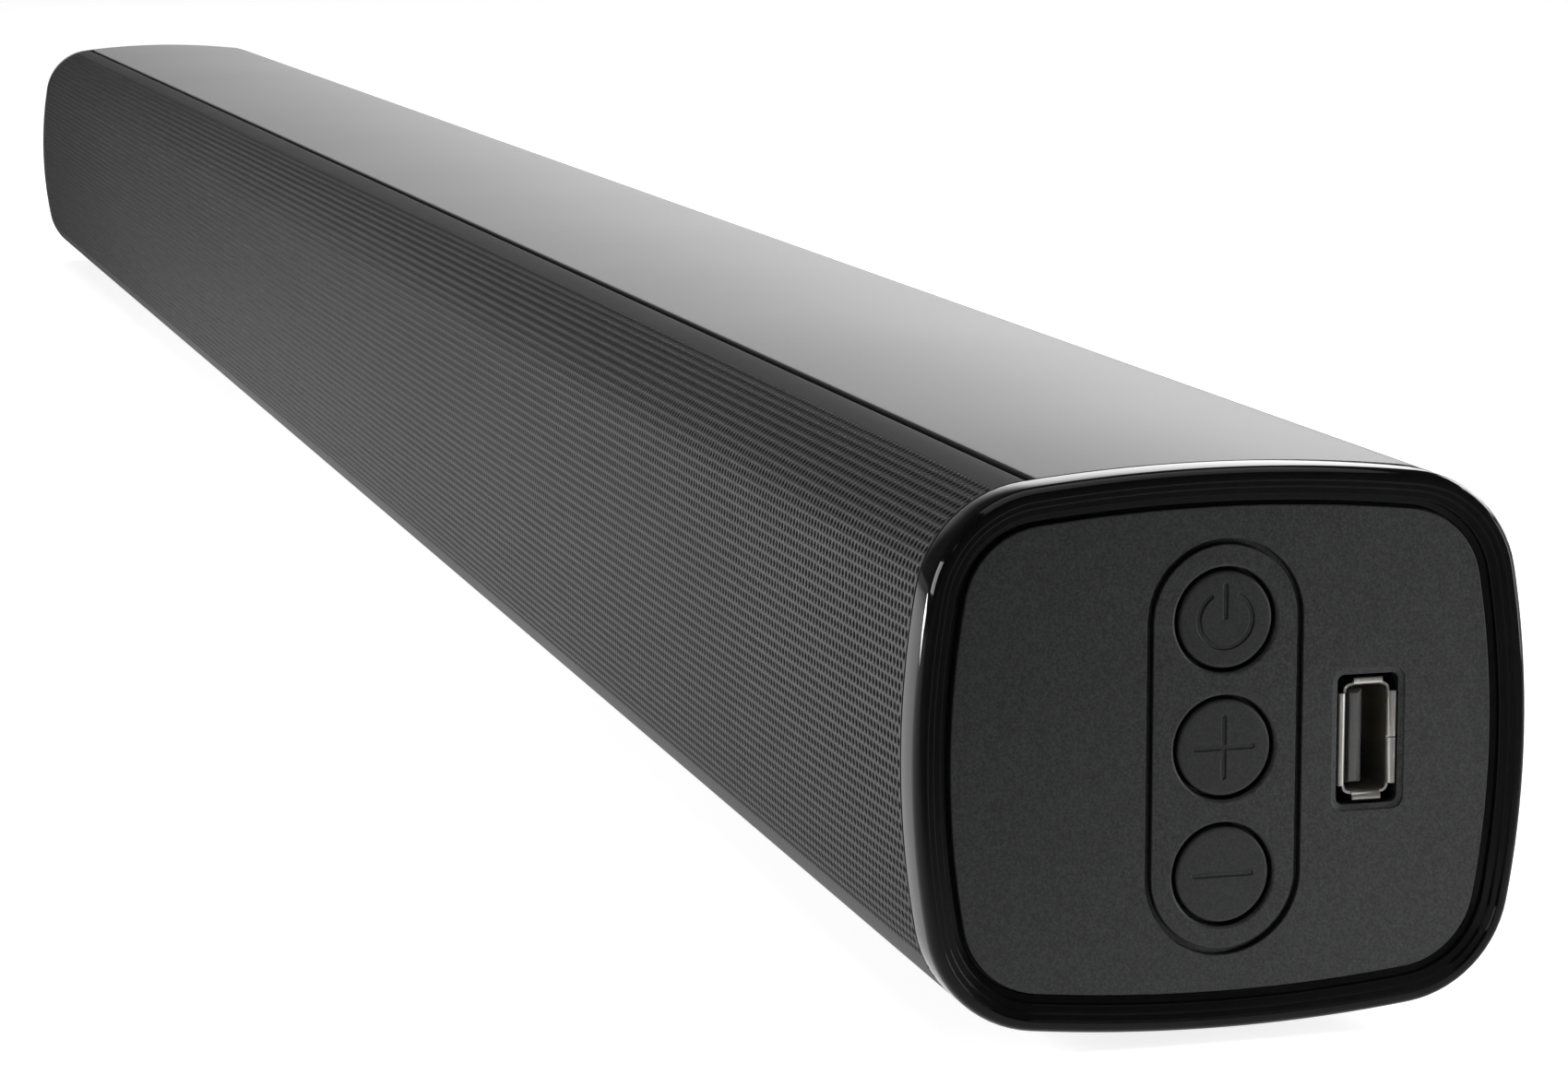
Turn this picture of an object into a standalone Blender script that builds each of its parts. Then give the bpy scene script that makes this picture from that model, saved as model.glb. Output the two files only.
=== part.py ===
"""A 0.94 m soundbar, as separate solids in metres.

The bar lies along X with its grille towards -Y, its controls on the +X end and its rubber feet on Z = 0.
Every long piece follows one section: a rounded rectangle whose four sides bulge a little. Depths into an
end of the bar are measured from that end's outermost face.
"""

import math

import bmesh
import bpy
from mathutils import Matrix, Vector

MM = 0.001
GAP = 0.3 * MM

# The section of the bar
LENGTH = 940 * MM
DEPTH = 75 * MM
HEIGHT = 66 * MM
SIDE_BULGE = 4.9 * MM  # of the front and the back, over the full height
FLAT_BULGE = 3.5 * MM  # of the top and the underside, over the full depth
CORNER_RADIUS = 14.3 * MM
FOOT_DROP = 1.5 * MM  # how far the feet stand below the underside
CENTRE_Z = FOOT_DROP + HEIGHT / 2
HALF = LENGTH / 2
UP, RIGHT, BACK = Vector((0, 0, 1)), Vector((1, 0, 0)), Vector((0, 1, 0))

# Shells
WALL = 2.5 * MM
SEAM_Y = -22 * MM  # middle of the groove between the housing and the grille
GROOVE = 0.9 * MM
FLANGE = 2.2 * MM
FLANGE_REACH = 8.5 * MM
GRILLE_SHEET = 0.8 * MM
GRILLE_HEM = 2.0 * MM
CLOTH_SHEET = 0.5 * MM

# End rims and panels, as insets from the section's outline and depths from the end
COLLAR = 5.7 * MM
SPIGOT_INSET = 2.9 * MM
SPIGOT_SHEET = 2.0 * MM
SPIGOT_DEPTH = 18 * MM
RIM_EDGE = 1.0 * MM
RIM_CREST = 1.7 * MM
RIM_LEDGE = 2.25 * MM
CHANNEL_DEPTH = 2.6 * MM
CHANNEL_INNER = 3.3 * MM
SHELF_INSET = 6.5 * MM
PANEL_DEPTH = 1.0 * MM
PANEL_FACE_INSET = 4.6 * MM
PANEL_INSET = 3.6 * MM
PANEL_BACK = 3.6 * MM

# Buttons and USB socket, on the right-hand panel
CONTROL_Z = CENTRE_Z + 0.3 * MM
BUTTON_PITCH = 15.0 * MM
BUTTON_HOLE = 6.15 * MM
BUTTON_RADIUS = 5.75 * MM
BUTTON_RECESS = 0.2 * MM
BUTTON_TRAVEL = 0.5 * MM
BUTTON_FLANGE = 6.9 * MM
OVAL_RADIUS = 9.15 * MM  # to the middle of the groove round the buttons
OVAL_GROOVE = 0.5 * MM
OVAL_GROOVE_DEPTH = 0.4 * MM
USB_Y = 17.8 * MM
USB_BODY = (5.7 * MM, 13.1 * MM)
USB_SHEET = 0.3 * MM
USB_FLARE = 0.7 * MM
USB_RECESS = (8.9 * MM, 17.1 * MM)
USB_POCKET = (7.7 * MM, 15.9 * MM)
USB_TONGUE = (1.9 * MM, 11.1 * MM)
BOARD_DEPTH = 16.8 * MM
BOARD_SHEET = 1.6 * MM

# Speakers
DRIVER_XS = (-330 * MM, -190 * MM, 190 * MM, 330 * MM)
BAFFLE_FRONT = -24.9 * MM
BAFFLE_SHEET = 3.0 * MM
BAFFLE_HALF_HEIGHT = 28.8 * MM
BAFFLE_HALF_LENGTH = 451 * MM
DRIVER_HOLE = 23.5 * MM
CONE_TRAVEL = 1.5 * MM

# Back and underside
BAY = (110 * MM, 30 * MM)  # socket bay, along X and Z
BAY_DROP = 2 * MM
BAY_FLOOR = 28 * MM
BAY_SKIN = 2 * MM
SOCKET_XS = (-30 * MM, 0.0, 30 * MM)
PORT_X = 415 * MM
PORT_HOLE = 14.5 * MM
KEYHOLE_X = 260 * MM
KEYHOLE_Z = CENTRE_Z + 6 * MM
PLATE_LOW = KEYHOLE_Z - 9 * MM
PLATE_HIGH = KEYHOLE_Z + 14 * MM
PLATE_Y = 32.8 * MM  # the rear face of the keyhole plates
PLATE_SHEET = 1.2 * MM
SCREW_X = HALF - 13 * MM
SCREW_RISE = 15 * MM
SCREW_SEAT = 35.0 * MM
FOOT_X = 380 * MM
FOOT_Y = 14 * MM
FOOT_SIZE = (30 * MM, 8 * MM)
FOOT_SEAT = 2.7 * MM  # height of the flat in which a foot is stuck

# Colour, roughness, metallic
SATIN_BLACK = ((0.020, 0.020, 0.021), 0.38, 0.0)
GLOSS_BLACK = ((0.006, 0.006, 0.007), 0.08, 0.0)
MATTE_BLACK = ((0.026, 0.026, 0.028), 0.55, 0.0)
KEY_BLACK = ((0.020, 0.020, 0.022), 0.50, 0.0)
GRILLE_PAINT = ((0.035, 0.035, 0.037), 0.45, 0.3)
INNER_BLACK = ((0.012, 0.012, 0.012), 0.80, 0.0)
RUBBER = ((0.015, 0.015, 0.015), 0.75, 0.0)
PAPER_CONE = ((0.030, 0.029, 0.028), 0.85, 0.0)
STEEL = ((0.55, 0.55, 0.56), 0.30, 1.0)
DARK_STEEL = ((0.10, 0.10, 0.11), 0.40, 1.0)
NICKEL = ((0.72, 0.69, 0.64), 0.22, 1.0)
GOLD = ((0.83, 0.62, 0.25), 0.25, 1.0)
BOARD_GREEN = ((0.015, 0.075, 0.035), 0.45, 0.0)


def circle_crossing(a, radius_a, b, radius_b):
    """The crossing of two circles about a and b that lies furthest towards +Y +Z."""
    apart = b - a
    span = apart.length
    along = (radius_a**2 - radius_b**2 + span**2) / (2 * span)
    across = math.sqrt(radius_a**2 - along**2)
    unit = apart / span
    normal = Vector((-unit.y, unit.x))
    foot = a + unit * along
    return max((foot + normal * across, foot - normal * across), key=lambda p: p.x + p.y)


def bulge_radius(chord, rise):
    return (chord**2 / 4 + rise**2) / (2 * rise)


def quarter_arcs(inset):
    """The section from its rearmost point up to its highest, as (centre, radius, two angles, steps)."""
    side_radius = bulge_radius(HEIGHT, SIDE_BULGE)
    flat_radius = bulge_radius(DEPTH, FLAT_BULGE)
    side_centre = Vector((DEPTH / 2 - side_radius, 0))
    flat_centre = Vector((0, HEIGHT / 2 - flat_radius))
    corner = circle_crossing(
        side_centre, side_radius - CORNER_RADIUS, flat_centre, flat_radius - CORNER_RADIUS
    )
    low = math.atan2(corner.y - side_centre.y, corner.x - side_centre.x)
    high = math.atan2(corner.y - flat_centre.y, corner.x - flat_centre.x)
    return (
        (side_centre, side_radius - inset, 0, low, 2),
        (corner, CORNER_RADIUS - inset, low, high, 6),
        (flat_centre, flat_radius - inset, high, math.pi / 2, 2),
    )


def outline(inset=0.0):
    """(y, z) points of the section moved inwards by inset, anticlockwise as seen from +X."""
    quarter = []
    for centre, radius, first, last, steps in quarter_arcs(inset):
        for step in range(steps):
            angle = first + (last - first) * step / steps
            quarter.append(centre + radius * Vector((math.cos(angle), math.sin(angle))))
    top = Vector((0, HEIGHT / 2 - inset))
    right_half = quarter + [top] + [Vector((-p.x, p.y)) for p in reversed(quarter)]
    lower = [Vector((p.x, -p.y)) for p in reversed(right_half[1:-1])]
    return [(p.x, p.y + CENTRE_Z) for p in right_half + lower]


def outline_beyond(inset, limit, front):
    """The stretch of the outline in front of (or behind) the plane y = limit, from its top end down."""
    points = outline(inset)
    inside = [(y < limit) == front for y, _ in points]
    start = next(i for i in range(len(points)) if inside[i] and not inside[i - 1])
    points = points[start - 1 :] + points[: start - 1]
    inside = inside[start - 1 :] + inside[: start - 1]
    stretch = []
    for before, here, was_in, is_in in zip(points, points[1:], inside, inside[1:]):
        if was_in != is_in:
            share = (limit - before[0]) / (here[0] - before[0])
            stretch.append((limit, before[1] + share * (here[1] - before[1])))
        if not is_in:
            break
        stretch.append(here)
    return stretch if stretch[0][1] > stretch[-1][1] else stretch[::-1]


def rounded_rectangle(width, height, radius, steps=3):
    """(u, v) points about the origin, anticlockwise."""
    points = []
    for quadrant, (side, rise) in enumerate(((1, 1), (-1, 1), (-1, -1), (1, -1))):
        centre = Vector((side * (width / 2 - radius), rise * (height / 2 - radius)))
        for step in range(steps + 1):
            angle = math.pi / 2 * (quadrant + step / steps)
            points.append(tuple(centre + radius * Vector((math.cos(angle), math.sin(angle)))))
    return points


def make_material(name, finish):
    colour, roughness, metallic = finish
    material = bpy.data.materials.new(name + "_finish")
    material.use_nodes = True
    shader = material.node_tree.nodes["Principled BSDF"]
    shader.inputs["Base Color"].default_value = (*colour, 1)
    shader.inputs["Roughness"].default_value = roughness
    shader.inputs["Metallic"].default_value = metallic
    return material


def make_object(name, bm, finish, place=None):
    bmesh.ops.recalc_face_normals(bm, faces=bm.faces)
    mesh = bpy.data.meshes.new(name)
    bm.to_mesh(mesh)
    bm.free()
    mesh.shade_smooth()
    mesh.set_sharp_from_angle(angle=math.radians(30))
    obj = bpy.data.objects.new(name, mesh)
    bpy.context.scene.collection.objects.link(obj)
    if place is not None:
        obj.matrix_world = place
    if finish:
        mesh.materials.append(make_material(name, finish))
    return obj


def loft(name, loops, finish, ring=False):
    """A body through loops of equally many points. A ring joins its last loop to the first."""
    bm = bmesh.new()
    rows = [[bm.verts.new(point) for point in loop] for loop in loops]
    pairs = list(zip(rows, rows[1:] + rows[:1])) if ring else list(zip(rows, rows[1:]))
    for row, following in pairs:
        for i in range(len(row)):
            bm.faces.new((row[i - 1], row[i], following[i], following[i - 1]))
    if not ring:
        bm.faces.new(rows[0])
        bm.faces.new(rows[-1][::-1])
    return make_object(name, bm, finish)


def prism(name, section, first_x, last_x, finish):
    """A section of (y, z) points drawn out along X."""
    return loft(name, [[(x, y, z) for y, z in section] for x in (first_x, last_x)], finish)


def block(name, low, high, finish):
    bm = bmesh.new()
    middle = (Vector(low) + Vector(high)) / 2
    size = Vector(high) - Vector(low)
    bmesh.ops.create_cube(bm, size=1, matrix=Matrix.Translation(middle) @ Matrix.Diagonal((*size, 1)))
    return make_object(name, bm, finish)


def facing(origin, direction):
    """The placement whose local Z runs along direction."""
    turn = UP.rotation_difference(Vector(direction)).to_matrix().to_4x4()
    return Matrix.Translation(origin) @ turn


def lathe(name, profile, place, finish, segments=20, closed=False):
    """A profile of (radius, height) points turned about the placement's Z axis."""
    bm = bmesh.new()
    points = [bm.verts.new((radius, 0, height)) for radius, height in profile]
    ends = zip(points, points[1:] + points[:1]) if closed else zip(points, points[1:])
    edges = [bm.edges.new(pair) for pair in ends]
    bmesh.ops.spin(
        bm, geom=points + edges, axis=(0, 0, 1), cent=(0, 0, 0), angle=2 * math.pi,
        steps=segments, use_merge=True,
    )
    bmesh.ops.remove_doubles(bm, verts=bm.verts, dist=1e-6)
    return make_object(name, bm, finish, place)


def pin(name, radius, first, last, place, finish, segments=16):
    """A plain round bar from height first to height last."""
    profile = ((0, first), (radius, first), (radius, last), (0, last))
    return lathe(name, profile, place, finish, segments)


def combine(body, tool, operation="DIFFERENCE"):
    """Applies a helper solid to a body, and keeps it out of the model."""
    modifier = body.modifiers.new(tool.name, "BOOLEAN")
    modifier.operation = operation
    modifier.object = tool
    tool.hide_render = True
    tool.display_type = "WIRE"


def end_x(depth, side):
    """X at a depth into the right (side 1) or left (side -1) end."""
    return side * (HALF - depth)


def end_loop(inset, depth, side):
    return [(end_x(depth, side), y, z) for y, z in outline(inset)]


def make_housing():
    """Top, back and underside in one moulding, with flanges that carry the baffle."""
    edge = SEAM_Y + GROOVE / 2
    inner = edge + FLANGE
    section = outline_beyond(0, edge, front=False)
    reach = HEIGHT / 2 - FLANGE_REACH
    section += [(edge, CENTRE_Z - reach), (inner, CENTRE_Z - reach)]
    section += outline_beyond(WALL, inner, front=False)[::-1]
    section += [(inner, CENTRE_Z + reach), (edge, CENTRE_Z + reach)]
    half = HALF - COLLAR - GAP
    housing = prism("rear_housing", section, -half, half, SATIN_BLACK)

    add_socket_bay(housing)
    for side in (-1, 1):
        clear = [end_loop(WALL + 0.1 * MM, depth, side) for depth in (0, SPIGOT_DEPTH + GAP)]
        combine(housing, loft(f"cutter_spigot_{side}", clear, None))
        place = facing((side * PORT_X, 20 * MM, CENTRE_Z), BACK)
        combine(housing, pin(f"cutter_port_{side}", PORT_HOLE, 0, 30 * MM, place, None, 20))
        add_keyhole(housing, side)
        add_foot_seats(housing, side)
        add_screw_holes(housing, side)


def add_socket_bay(housing):
    """A bay sunk in the back, with a hole in its floor for each socket."""
    middle = Vector((0, 0, CENTRE_Z - BAY_DROP))
    room = Vector((BAY[0] / 2, 0, BAY[1] / 2))
    skin = room + Vector((BAY_SKIN, 0, BAY_SKIN))
    low = middle - skin + BACK * (BAY_FLOOR - BAY_SKIN)
    high = middle + skin + BACK * (DEPTH / 2 - WALL)
    combine(housing, block("helper_bay_walls", low, high, None), "UNION")
    low = middle - room + BACK * BAY_FLOOR
    high = middle + room + BACK * DEPTH
    combine(housing, block("cutter_bay", low, high, None))
    for number, x in enumerate(SOCKET_XS):
        place = facing((x, BAY_FLOOR - 2 * BAY_SKIN, middle.z), BACK)
        combine(housing, pin(f"cutter_socket_{number}", 5.3 * MM, 0, 3 * BAY_SKIN, place, None))


def add_keyhole(housing, side):
    """A keyhole opening, with a flat pad inside for its steel plate."""
    x = side * KEYHOLE_X
    low = (x - 16 * MM, PLATE_Y + GAP, PLATE_LOW - 2 * MM)
    high = (x + 16 * MM, PLATE_Y + 1.7 * MM, PLATE_HIGH + 1.5 * MM)
    combine(housing, block(f"helper_pad_{side}", low, high, None), "UNION")
    combine(housing, keyhole_cutter(f"cutter_keyhole_{side}", side, 5 * MM, 2.5 * MM))


def add_foot_seats(housing, side):
    seat = [size + 2 * GAP for size in FOOT_SIZE]
    for row, y in (("front", -FOOT_Y), ("rear", FOOT_Y)):
        name = f"cutter_seat_{row}_{side}"
        combine(housing, foot_body(name, seat, -MM, FOOT_SEAT, side * FOOT_X, y, None))


def add_screw_holes(housing, side):
    """Counterbored holes for the screws that hold a rim."""
    profile = (
        (0, 25 * MM),
        (1.7 * MM, 25 * MM),
        (1.7 * MM, SCREW_SEAT),
        (3.2 * MM, SCREW_SEAT),
        (3.2 * MM, 40 * MM),
        (0, 40 * MM),
    )
    for rise in (-SCREW_RISE, SCREW_RISE):
        place = facing((side * SCREW_X, 0, CENTRE_Z + rise), BACK)
        combine(housing, lathe(f"cutter_screw_{side}_{rise:.3f}", profile, place, None, 16))


def keyhole_cutter(name, side, hole, slot):
    """A round hole with a narrower slot rising from it, along Y."""
    points = []
    top = 9 * MM
    opening = math.asin(slot / hole)
    for step in range(13):
        angle = math.pi / 2 + opening + (2 * math.pi - 2 * opening) * step / 12
        points.append((hole * math.cos(angle), hole * math.sin(angle)))
    for step in range(7):
        angle = math.pi * step / 6
        points.append((slot * math.cos(angle), top + slot * math.sin(angle)))
    loops = [
        [(side * KEYHOLE_X + u, y, KEYHOLE_Z + v) for u, v in points] for y in (20 * MM, 45 * MM)
    ]
    return loft(name, loops, None)


def make_keyhole_plates():
    for side, hand in ((-1, "left"), (1, "right")):
        low = (side * KEYHOLE_X - 14 * MM, PLATE_Y - PLATE_SHEET, PLATE_LOW)
        high = (side * KEYHOLE_X + 14 * MM, PLATE_Y, PLATE_HIGH)
        plate = block(f"keyhole_plate_{hand}", low, high, STEEL)
        combine(plate, keyhole_cutter(f"cutter_plate_{hand}", side, 4.6 * MM, 2.2 * MM))


def make_grille():
    """The sheet that wraps the front, with its edges turned in at the seams, and the cloth behind it."""
    edge = SEAM_Y - GROOVE / 2
    inner = edge - GRILLE_SHEET
    outer_path = outline_beyond(0, edge, front=True)
    inner_path = outline_beyond(GRILLE_SHEET, inner, front=True)
    hem = outer_path[0][1] - GRILLE_HEM
    low_hem = outer_path[-1][1] + GRILLE_HEM
    section = outer_path + [(edge, low_hem), (inner, low_hem)]
    section += inner_path[::-1] + [(inner, hem), (edge, hem)]
    half = HALF - COLLAR - GAP
    prism("front_grille", section, -half, half, GRILLE_PAINT)

    cloth_edge = inner - 2 * GAP
    first, last = GRILLE_SHEET + GAP, GRILLE_SHEET + GAP + CLOTH_SHEET
    section = outline_beyond(first, cloth_edge, front=True)
    section += outline_beyond(last, cloth_edge, front=True)[::-1]
    prism("grille_cloth", section, -BAFFLE_HALF_LENGTH, BAFFLE_HALF_LENGTH, INNER_BLACK)


def make_baffle():
    low = (-BAFFLE_HALF_LENGTH, BAFFLE_FRONT, CENTRE_Z - BAFFLE_HALF_HEIGHT)
    high = (BAFFLE_HALF_LENGTH, BAFFLE_FRONT + BAFFLE_SHEET, CENTRE_Z + BAFFLE_HALF_HEIGHT)
    baffle = block("front_baffle", low, high, INNER_BLACK)
    for number, x in enumerate(DRIVER_XS):
        place = facing((x, BAFFLE_FRONT - 5 * MM, CENTRE_Z), BACK)
        combine(baffle, pin(f"cutter_driver_{number}", DRIVER_HOLE, 0, 15 * MM, place, None, 20))


def make_rim(hand, side):
    """The gloss frame at one end: collar, rounded edge, crest, ledge, channel, shelf and spigot."""
    edge_steps = 3
    edge_depth = 1.6 * MM
    profile = [(0, COLLAR)]
    for step in range(edge_steps + 1):
        angle = math.pi / 2 * step / edge_steps
        profile.append((RIM_EDGE * (1 - math.cos(angle)), edge_depth * (1 - math.sin(angle))))
    profile += [
        (RIM_CREST, 0),
        (RIM_CREST + 0.1 * MM, 0.4 * MM),
        (RIM_LEDGE, 0.45 * MM),
        (RIM_LEDGE + 0.4 * MM, CHANNEL_DEPTH),
        (CHANNEL_INNER, CHANNEL_DEPTH),
        (CHANNEL_INNER, PANEL_BACK + GAP),
        (SHELF_INSET, PANEL_BACK + GAP),
        (SHELF_INSET, COLLAR + GAP),
        (SPIGOT_INSET + SPIGOT_SHEET, COLLAR + GAP),
        (SPIGOT_INSET + SPIGOT_SHEET, SPIGOT_DEPTH),
        (SPIGOT_INSET, SPIGOT_DEPTH),
        (SPIGOT_INSET, COLLAR),
    ]
    loops = [end_loop(inset, depth, side) for inset, depth in profile]
    rim = loft(f"end_rim_{hand}", loops, GLOSS_BLACK, ring=True)
    for rise in (-SCREW_RISE, SCREW_RISE):
        place = facing((side * SCREW_X, 25 * MM, CENTRE_Z + rise), BACK)
        combine(rim, pin(f"cutter_{hand}_{rise:.3f}", 1.6 * MM, 0, 15 * MM, place, None, 12))


def make_panel(hand, side):
    """The matte plate inside a rim, with a sloping lip round its face."""
    profile = (
        (PANEL_FACE_INSET, PANEL_DEPTH),
        (PANEL_INSET, PANEL_DEPTH + 0.9 * MM),
        (PANEL_INSET, PANEL_BACK),
    )
    loops = [end_loop(inset, depth, side) for inset, depth in profile]
    return loft(f"end_panel_{hand}", loops, MATTE_BLACK)


def oval(radius, depth):
    """A long round-ended loop about the three buttons, at a depth into the right-hand end."""
    points = []
    steps = 8
    for rise, first in ((BUTTON_PITCH, 0), (-BUTTON_PITCH, math.pi)):
        for step in range(steps + 1):
            angle = first + math.pi * step / steps
            y, z = radius * math.cos(angle), radius * math.sin(angle)
            points.append((end_x(depth, 1), y, CONTROL_Z + rise + z))
    return points


def usb_loop(size, radius, depth):
    return [(end_x(depth, 1), USB_Y + u, CONTROL_Z + v) for u, v in rounded_rectangle(*size, radius)]


def button_rises():
    return (("power", BUTTON_PITCH), ("volume_up", 0.0), ("volume_down", -BUTTON_PITCH))


def make_control_panel():
    """The right-hand panel, with the openings for the buttons and the USB socket and posts for the board."""
    panel = make_panel("right", 1)
    wide, narrow = OVAL_RADIUS + OVAL_GROOVE / 2, OVAL_RADIUS - OVAL_GROOVE / 2
    over, floor = PANEL_DEPTH - MM, PANEL_DEPTH + OVAL_GROOVE_DEPTH
    loops = [oval(wide, over), oval(wide, floor), oval(narrow, floor), oval(narrow, over)]
    combine(panel, loft("cutter_oval", loops, None, ring=True))
    for name, rise in button_rises():
        place = facing((end_x(0, 1), 0, CONTROL_Z + rise), -RIGHT)
        combine(panel, pin("cutter_" + name, BUTTON_HOLE, 0, 10 * MM, place, None, 20))
    bevel = 0.6 * MM
    loops = [
        usb_loop([side + 2 * bevel for side in USB_RECESS], 1.6 * MM, PANEL_DEPTH - bevel),
        usb_loop(USB_RECESS, 1.2 * MM, PANEL_DEPTH),
        usb_loop(USB_POCKET, 0.8 * MM, PANEL_DEPTH + bevel),
        usb_loop(USB_POCKET, 0.8 * MM, 10 * MM),
    ]
    combine(panel, loft("cutter_usb", loops, None))
    for y in (-10 * MM, 22 * MM):
        for z in (-20 * MM, 20 * MM):
            place = facing((end_x(0, 1), y, CENTRE_Z + z), -RIGHT)
            name = f"helper_post_{y:.3f}_{z:.3f}"
            post = pin(name, 2 * MM, PANEL_BACK - MM, BOARD_DEPTH - GAP, place, None, 10)
            combine(panel, post, "UNION")


def make_buttons():
    """Each button with the switch behind it: the button and the switch's plunger travel inwards together."""
    front = PANEL_DEPTH + BUTTON_RECESS
    flange = PANEL_BACK + GAP
    stem_end = 9.0 * MM
    switch_front = 13.0 * MM
    switch_half = 3.0 * MM
    for name, rise in button_rises():
        place = facing((end_x(0, 1), 0, CONTROL_Z + rise), -RIGHT)
        profile = (
            (0, front),
            (BUTTON_RADIUS - 0.5 * MM, front),
            (BUTTON_RADIUS - 0.15 * MM, front + 0.15 * MM),
            (BUTTON_RADIUS, front + 0.5 * MM),
            (BUTTON_RADIUS, flange),
            (BUTTON_FLANGE, flange),
            (BUTTON_FLANGE, flange + MM),
            (2 * MM, flange + MM),
            (2 * MM, stem_end),
            (0, stem_end),
        )
        lathe("button_" + name, profile, place, KEY_BLACK, 20)
        plunger_end = switch_front + 1.5 * MM
        pin("switch_plunger_" + name, 1.7 * MM, stem_end + 0.1 * MM, plunger_end, place, KEY_BLACK, 12)
        low = (end_x(BOARD_DEPTH - GAP, 1), -switch_half, CONTROL_Z + rise - switch_half)
        high = (end_x(switch_front, 1), switch_half, CONTROL_Z + rise + switch_half)
        switch = block("switch_body_" + name, low, high, DARK_STEEL)
        bore = pin("cutter_switch_" + name, 2.1 * MM, 10 * MM, plunger_end + MM, place, None, 12)
        combine(switch, bore)


def make_usb_socket():
    """The receptacle: flared metal shell, plastic tongue and four spring contacts."""
    back = BOARD_DEPTH - GAP
    front = PANEL_DEPTH + 0.1 * MM
    profile = (
        (0, back),
        (0, front + MM),
        (USB_FLARE, front + 0.15 * MM),
        (USB_FLARE - 0.25 * MM, front),
        (-USB_SHEET, front + 0.9 * MM),
        (-USB_SHEET, back),
    )
    loops = []
    for grow, depth in profile:
        size = [side + 2 * grow for side in USB_BODY]
        loops.append(usb_loop(size, 0.8 * MM + grow, depth))
    loft("usb_shell", loops, NICKEL, ring=True)

    thick, tall = USB_TONGUE
    tongue_y = USB_Y - 0.9 * MM
    base = (USB_BODY[0] / 2 - USB_SHEET - GAP, USB_BODY[1] / 2 - USB_SHEET - GAP)
    low = (end_x(back, 1), USB_Y - base[0], CONTROL_Z - base[1])
    high = (end_x(back - 3 * MM, 1), USB_Y + base[0], CONTROL_Z + base[1])
    tongue = block("usb_tongue", low, high, INNER_BLACK)
    low = (end_x(back - MM, 1), tongue_y - thick / 2, CONTROL_Z - tall / 2)
    high = (end_x(front + 1.2 * MM, 1), tongue_y + thick / 2, CONTROL_Z + tall / 2)
    combine(tongue, block("helper_tongue", low, high, None), "UNION")

    face = tongue_y + thick / 2 + 0.1 * MM
    for number, rise in enumerate((3.5, 1.0, -1.0, -3.5), start=1):
        z = CONTROL_Z + rise * MM
        low = (end_x(back - 3.3 * MM, 1), face, z - 0.5 * MM)
        high = (end_x(front + 2.2 * MM, 1), face + 0.25 * MM, z + 0.5 * MM)
        block(f"usb_contact_{number}", low, high, GOLD)


def make_boards():
    """The control board behind the buttons, the main board behind the sockets, and the remote's receiver."""
    low = (end_x(BOARD_DEPTH + BOARD_SHEET, 1), -13 * MM, CENTRE_Z - 23 * MM)
    high = (end_x(BOARD_DEPTH, 1), 24 * MM, CENTRE_Z + 23 * MM)
    block("control_board", low, high, BOARD_GREEN)

    board_y = 12 * MM
    low = (-110 * MM, board_y, CENTRE_Z - 22 * MM)
    block("main_board", low, (110 * MM, board_y + BOARD_SHEET, CENTRE_Z + 18 * MM), BOARD_GREEN)
    seat = board_y + BOARD_SHEET + GAP
    bay_z = CENTRE_Z - BAY_DROP
    bores = {"dc_inlet": 2.8 * MM, "aux_socket": 1.8 * MM, "optical_socket": 2.6 * MM}
    for x, (name, bore) in zip(SOCKET_XS, bores.items()):
        profile = (
            (0, seat), (5 * MM, seat), (5 * MM, BAY_FLOOR + 0.5 * MM), (bore, BAY_FLOOR + 0.5 * MM),
            (bore, BAY_FLOOR - 8 * MM), (0, BAY_FLOOR - 8 * MM),
        )
        lathe(name, profile, facing((x, 0, bay_z), BACK), KEY_BLACK)

    sensor_y = BAFFLE_FRONT - GAP - 1.2 * MM
    low = (-15 * MM, sensor_y, CENTRE_Z - 6 * MM)
    block("sensor_board", low, (15 * MM, sensor_y + 1.2 * MM, CENTRE_Z + 6 * MM), BOARD_GREEN)
    receiver = ((0, GAP), (3 * MM, GAP), (3 * MM, 2.5 * MM), (2.1 * MM, 4.4 * MM), (0, 5.2 * MM))
    lathe("remote_receiver", receiver, facing((0, sensor_y, CENTRE_Z), -BACK), INNER_BLACK, 16)


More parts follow.
